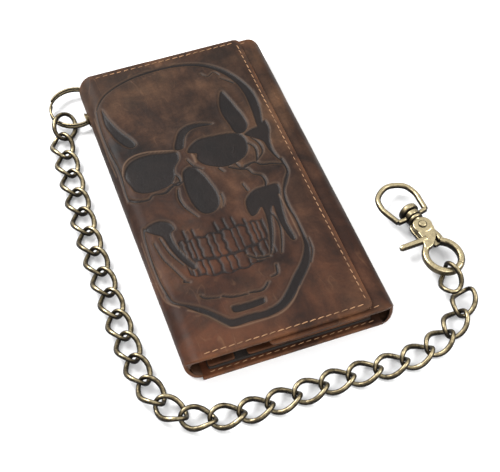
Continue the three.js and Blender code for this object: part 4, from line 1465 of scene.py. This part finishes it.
def fabric_material(name, colour, scale=1500):
    """Plain weave: two crossed bands of thread with uneven dye."""
    tree = Tree(name)
    bands = []
    for direction in ("X", "Y"):
        wave = tree.nodes.new("ShaderNodeTexWave")
        wave.bands_direction = direction
        wave.inputs["Scale"].default_value = scale / 6
        wave.inputs["Distortion"].default_value = 0.6
        tree.link(tree.position, wave.inputs["Vector"])
        bands.append(wave.outputs["Fac"])
    weave = tree.maths("MULTIPLY", bands[0], bands[1])
    dye = tree.noise(60, 4, 0.6)
    light = tuple(min(part * 1.5, 1) for part in colour)
    base = tree.ramp(dye, [(0.3, colour), (0.7, light)])
    base = tree.mix(0.5, base, tree.ramp(weave, [(0.0, 0.55), (0.7, 1.1)]), "MULTIPLY")
    return tree.finish(base, 0.85, tree.bump(weave, 0.5, 0.00015))


# ---- Inside the wallet ----------------------------------------------------------------------------
CARD_POCKETS = ("card_pocket_1", "card_pocket_2", "card_pocket_3")
ROW_INSET = 2.2


def stitched_panel(node, name, body, material, thread, sides, seed):
    """A flat panel with a stitch row inside each side named in sides (left, right, near, far)."""
    low, high = box_mm(node)
    left, right = low.x + ROW_INSET, high.x - ROW_INSET
    near_y, far_y = low.y + ROW_INSET, high.y - ROW_INSET
    rows = {"left": (("x", left), (left, near_y), (left, far_y)),
            "right": (("x", right), (right, near_y), (right, far_y)),
            "near": (("y", near_y), (left, near_y), (right, near_y)),
            "far": (("y", far_y), (left, far_y), (right, far_y))}
    seams = ("low", "high") if node == "back_panel" else ()
    flat_panel(node, name, body, material, [rows[side][0] for side in sides], seams)
    top = high.z - STITCH_GROOVE * 0.7
    for index, side in enumerate(sides):
        _, start, end = rows[side]
        stitch_row(f"{name}_stitches_{side}", (*start, top), (*end, top), body, thread,
                   seed + index, thickness=0.45)


def inside(leather, pocket_leather, lining, thread):
    stitched_panel("back_panel", "back_leather", "wallet_body", leather, thread,
                   ("near", "far"), 200)
    stitched_panel("cover_pocket", "cover_pocket_leather", "cover",
                   pocket_leather, thread, ("right",), 210)
    stitched_panel("note_pocket_lining", "note_pocket_cloth", "wallet_body", lining,
                   thread, (), 220)
    stitched_panel("coin_pocket_edge", "coin_pocket_edge_leather", "wallet_body",
                   pocket_leather, thread, ("left",), 230)
    stitched_panel("coin_pocket_panel", "coin_pocket_leather", "wallet_body",
                   pocket_leather, thread, ("left",), 240)
    for index, node in enumerate(CARD_POCKETS):
        stitched_panel(node, f"{node}_leather", "wallet_body", pocket_leather,
                       thread, ("left",), 250 + 10 * index)


def zip_parts(tape, metal):
    zip_tape("zip_tape_left", "zip_tape_left_cloth", tape)
    zip_tape("zip_tape_right", "zip_tape_right_cloth", tape)
    zip_teeth("zip_teeth_left", "zip_teeth_left_cast", -1, metal)
    zip_teeth("zip_teeth_right", "zip_teeth_right_cast", 1, metal)
    zip_stop("zip_stop_near", "zip_stop_near_cast", metal)
    zip_stop("zip_stop_far", "zip_stop_far_cast", metal)
    zip_slider(metal)
    zip_puller(metal)


def cover_stitches(thread):
    top = COVER_HIGH.z - STITCH_GROOVE
    near_y, far_y = COVER_NEAR_STITCH_Y, COVER_FAR_STITCH_Y
    corner = COVER_STITCH_X
    stitch_row("cover_stitches_side", (corner, near_y, top), (corner, far_y, top), "cover",
               thread, 1)
    stitch_row("cover_stitches_near", (FOLD_X, near_y, top), (corner, near_y, top), "cover",
               thread, 2)
    stitch_row("cover_stitches_far", (FOLD_X, far_y, top), (corner, far_y, top), "cover",
               thread, 3)


def flap_stitches(thread):
    top = FLAP_HIGH.z - STITCH_GROOVE
    left, right = FLAP_LOW.x + FLAP_SIDE_INSET, RIGHT_FOLD_X
    near_y, far_y = RIGHT_LOW.y + FLAP_END_INSET, RIGHT_HIGH.y - FLAP_END_INSET
    stitch_row("flap_stitches_near", (left, near_y, top), (right, near_y, top), "flap", thread, 4)
    stitch_row("flap_stitches_far", (left, far_y, top), (right, far_y, top), "flap", thread, 5)
    stitch_row("flap_stitches_side", (left, near_y, top), (left, far_y, top), "flap", thread, 6)


def main():
    camera()
    studio()
    floor()
    leather = leather_material("oiled_leather", 0.5, 0.56)
    # A darker copy of the leather for the pockets inside: painted shade for the dark gaps between the
    # layers.
    pocket_leather = leather_material("pocket_leather", 2.7, 0.42)
    thread = thread_material("waxed_thread", (0.4, 0.215, 0.105))
    cover_leather(leather)
    flap_leather(leather)
    # The lining's near-black colour is its brown, partly darkened as painted shade for the gaps
    # inside.
    inside(leather, pocket_leather, fabric_material("brown_lining", (0.016, 0.0105, 0.0075)), thread)
    cover_stitches(thread)
    flap_stitches(thread)
    zip_parts(fabric_material("zip_tape_cloth", (0.03, 0.018, 0.012), 2400),
              brass_material("zip_brass", 0.12, 8))
    wire_brass = brass_material("antique_brass_wire")
    cast_brass = brass_material("antique_brass_cast", 0.06, 4)
    chain(wire_brass)
    split_ring(wire_brass)
    eyelet_rings(cast_brass)
    hook_body(cast_brass)
    hook_gate(brass_material("rubbed_brass", 0.2, 4))
    hook_rivet(cast_brass)
    hook_spring(brass_material("spring_steel", -0.05, 6))
    swivel(cast_brass)


main()
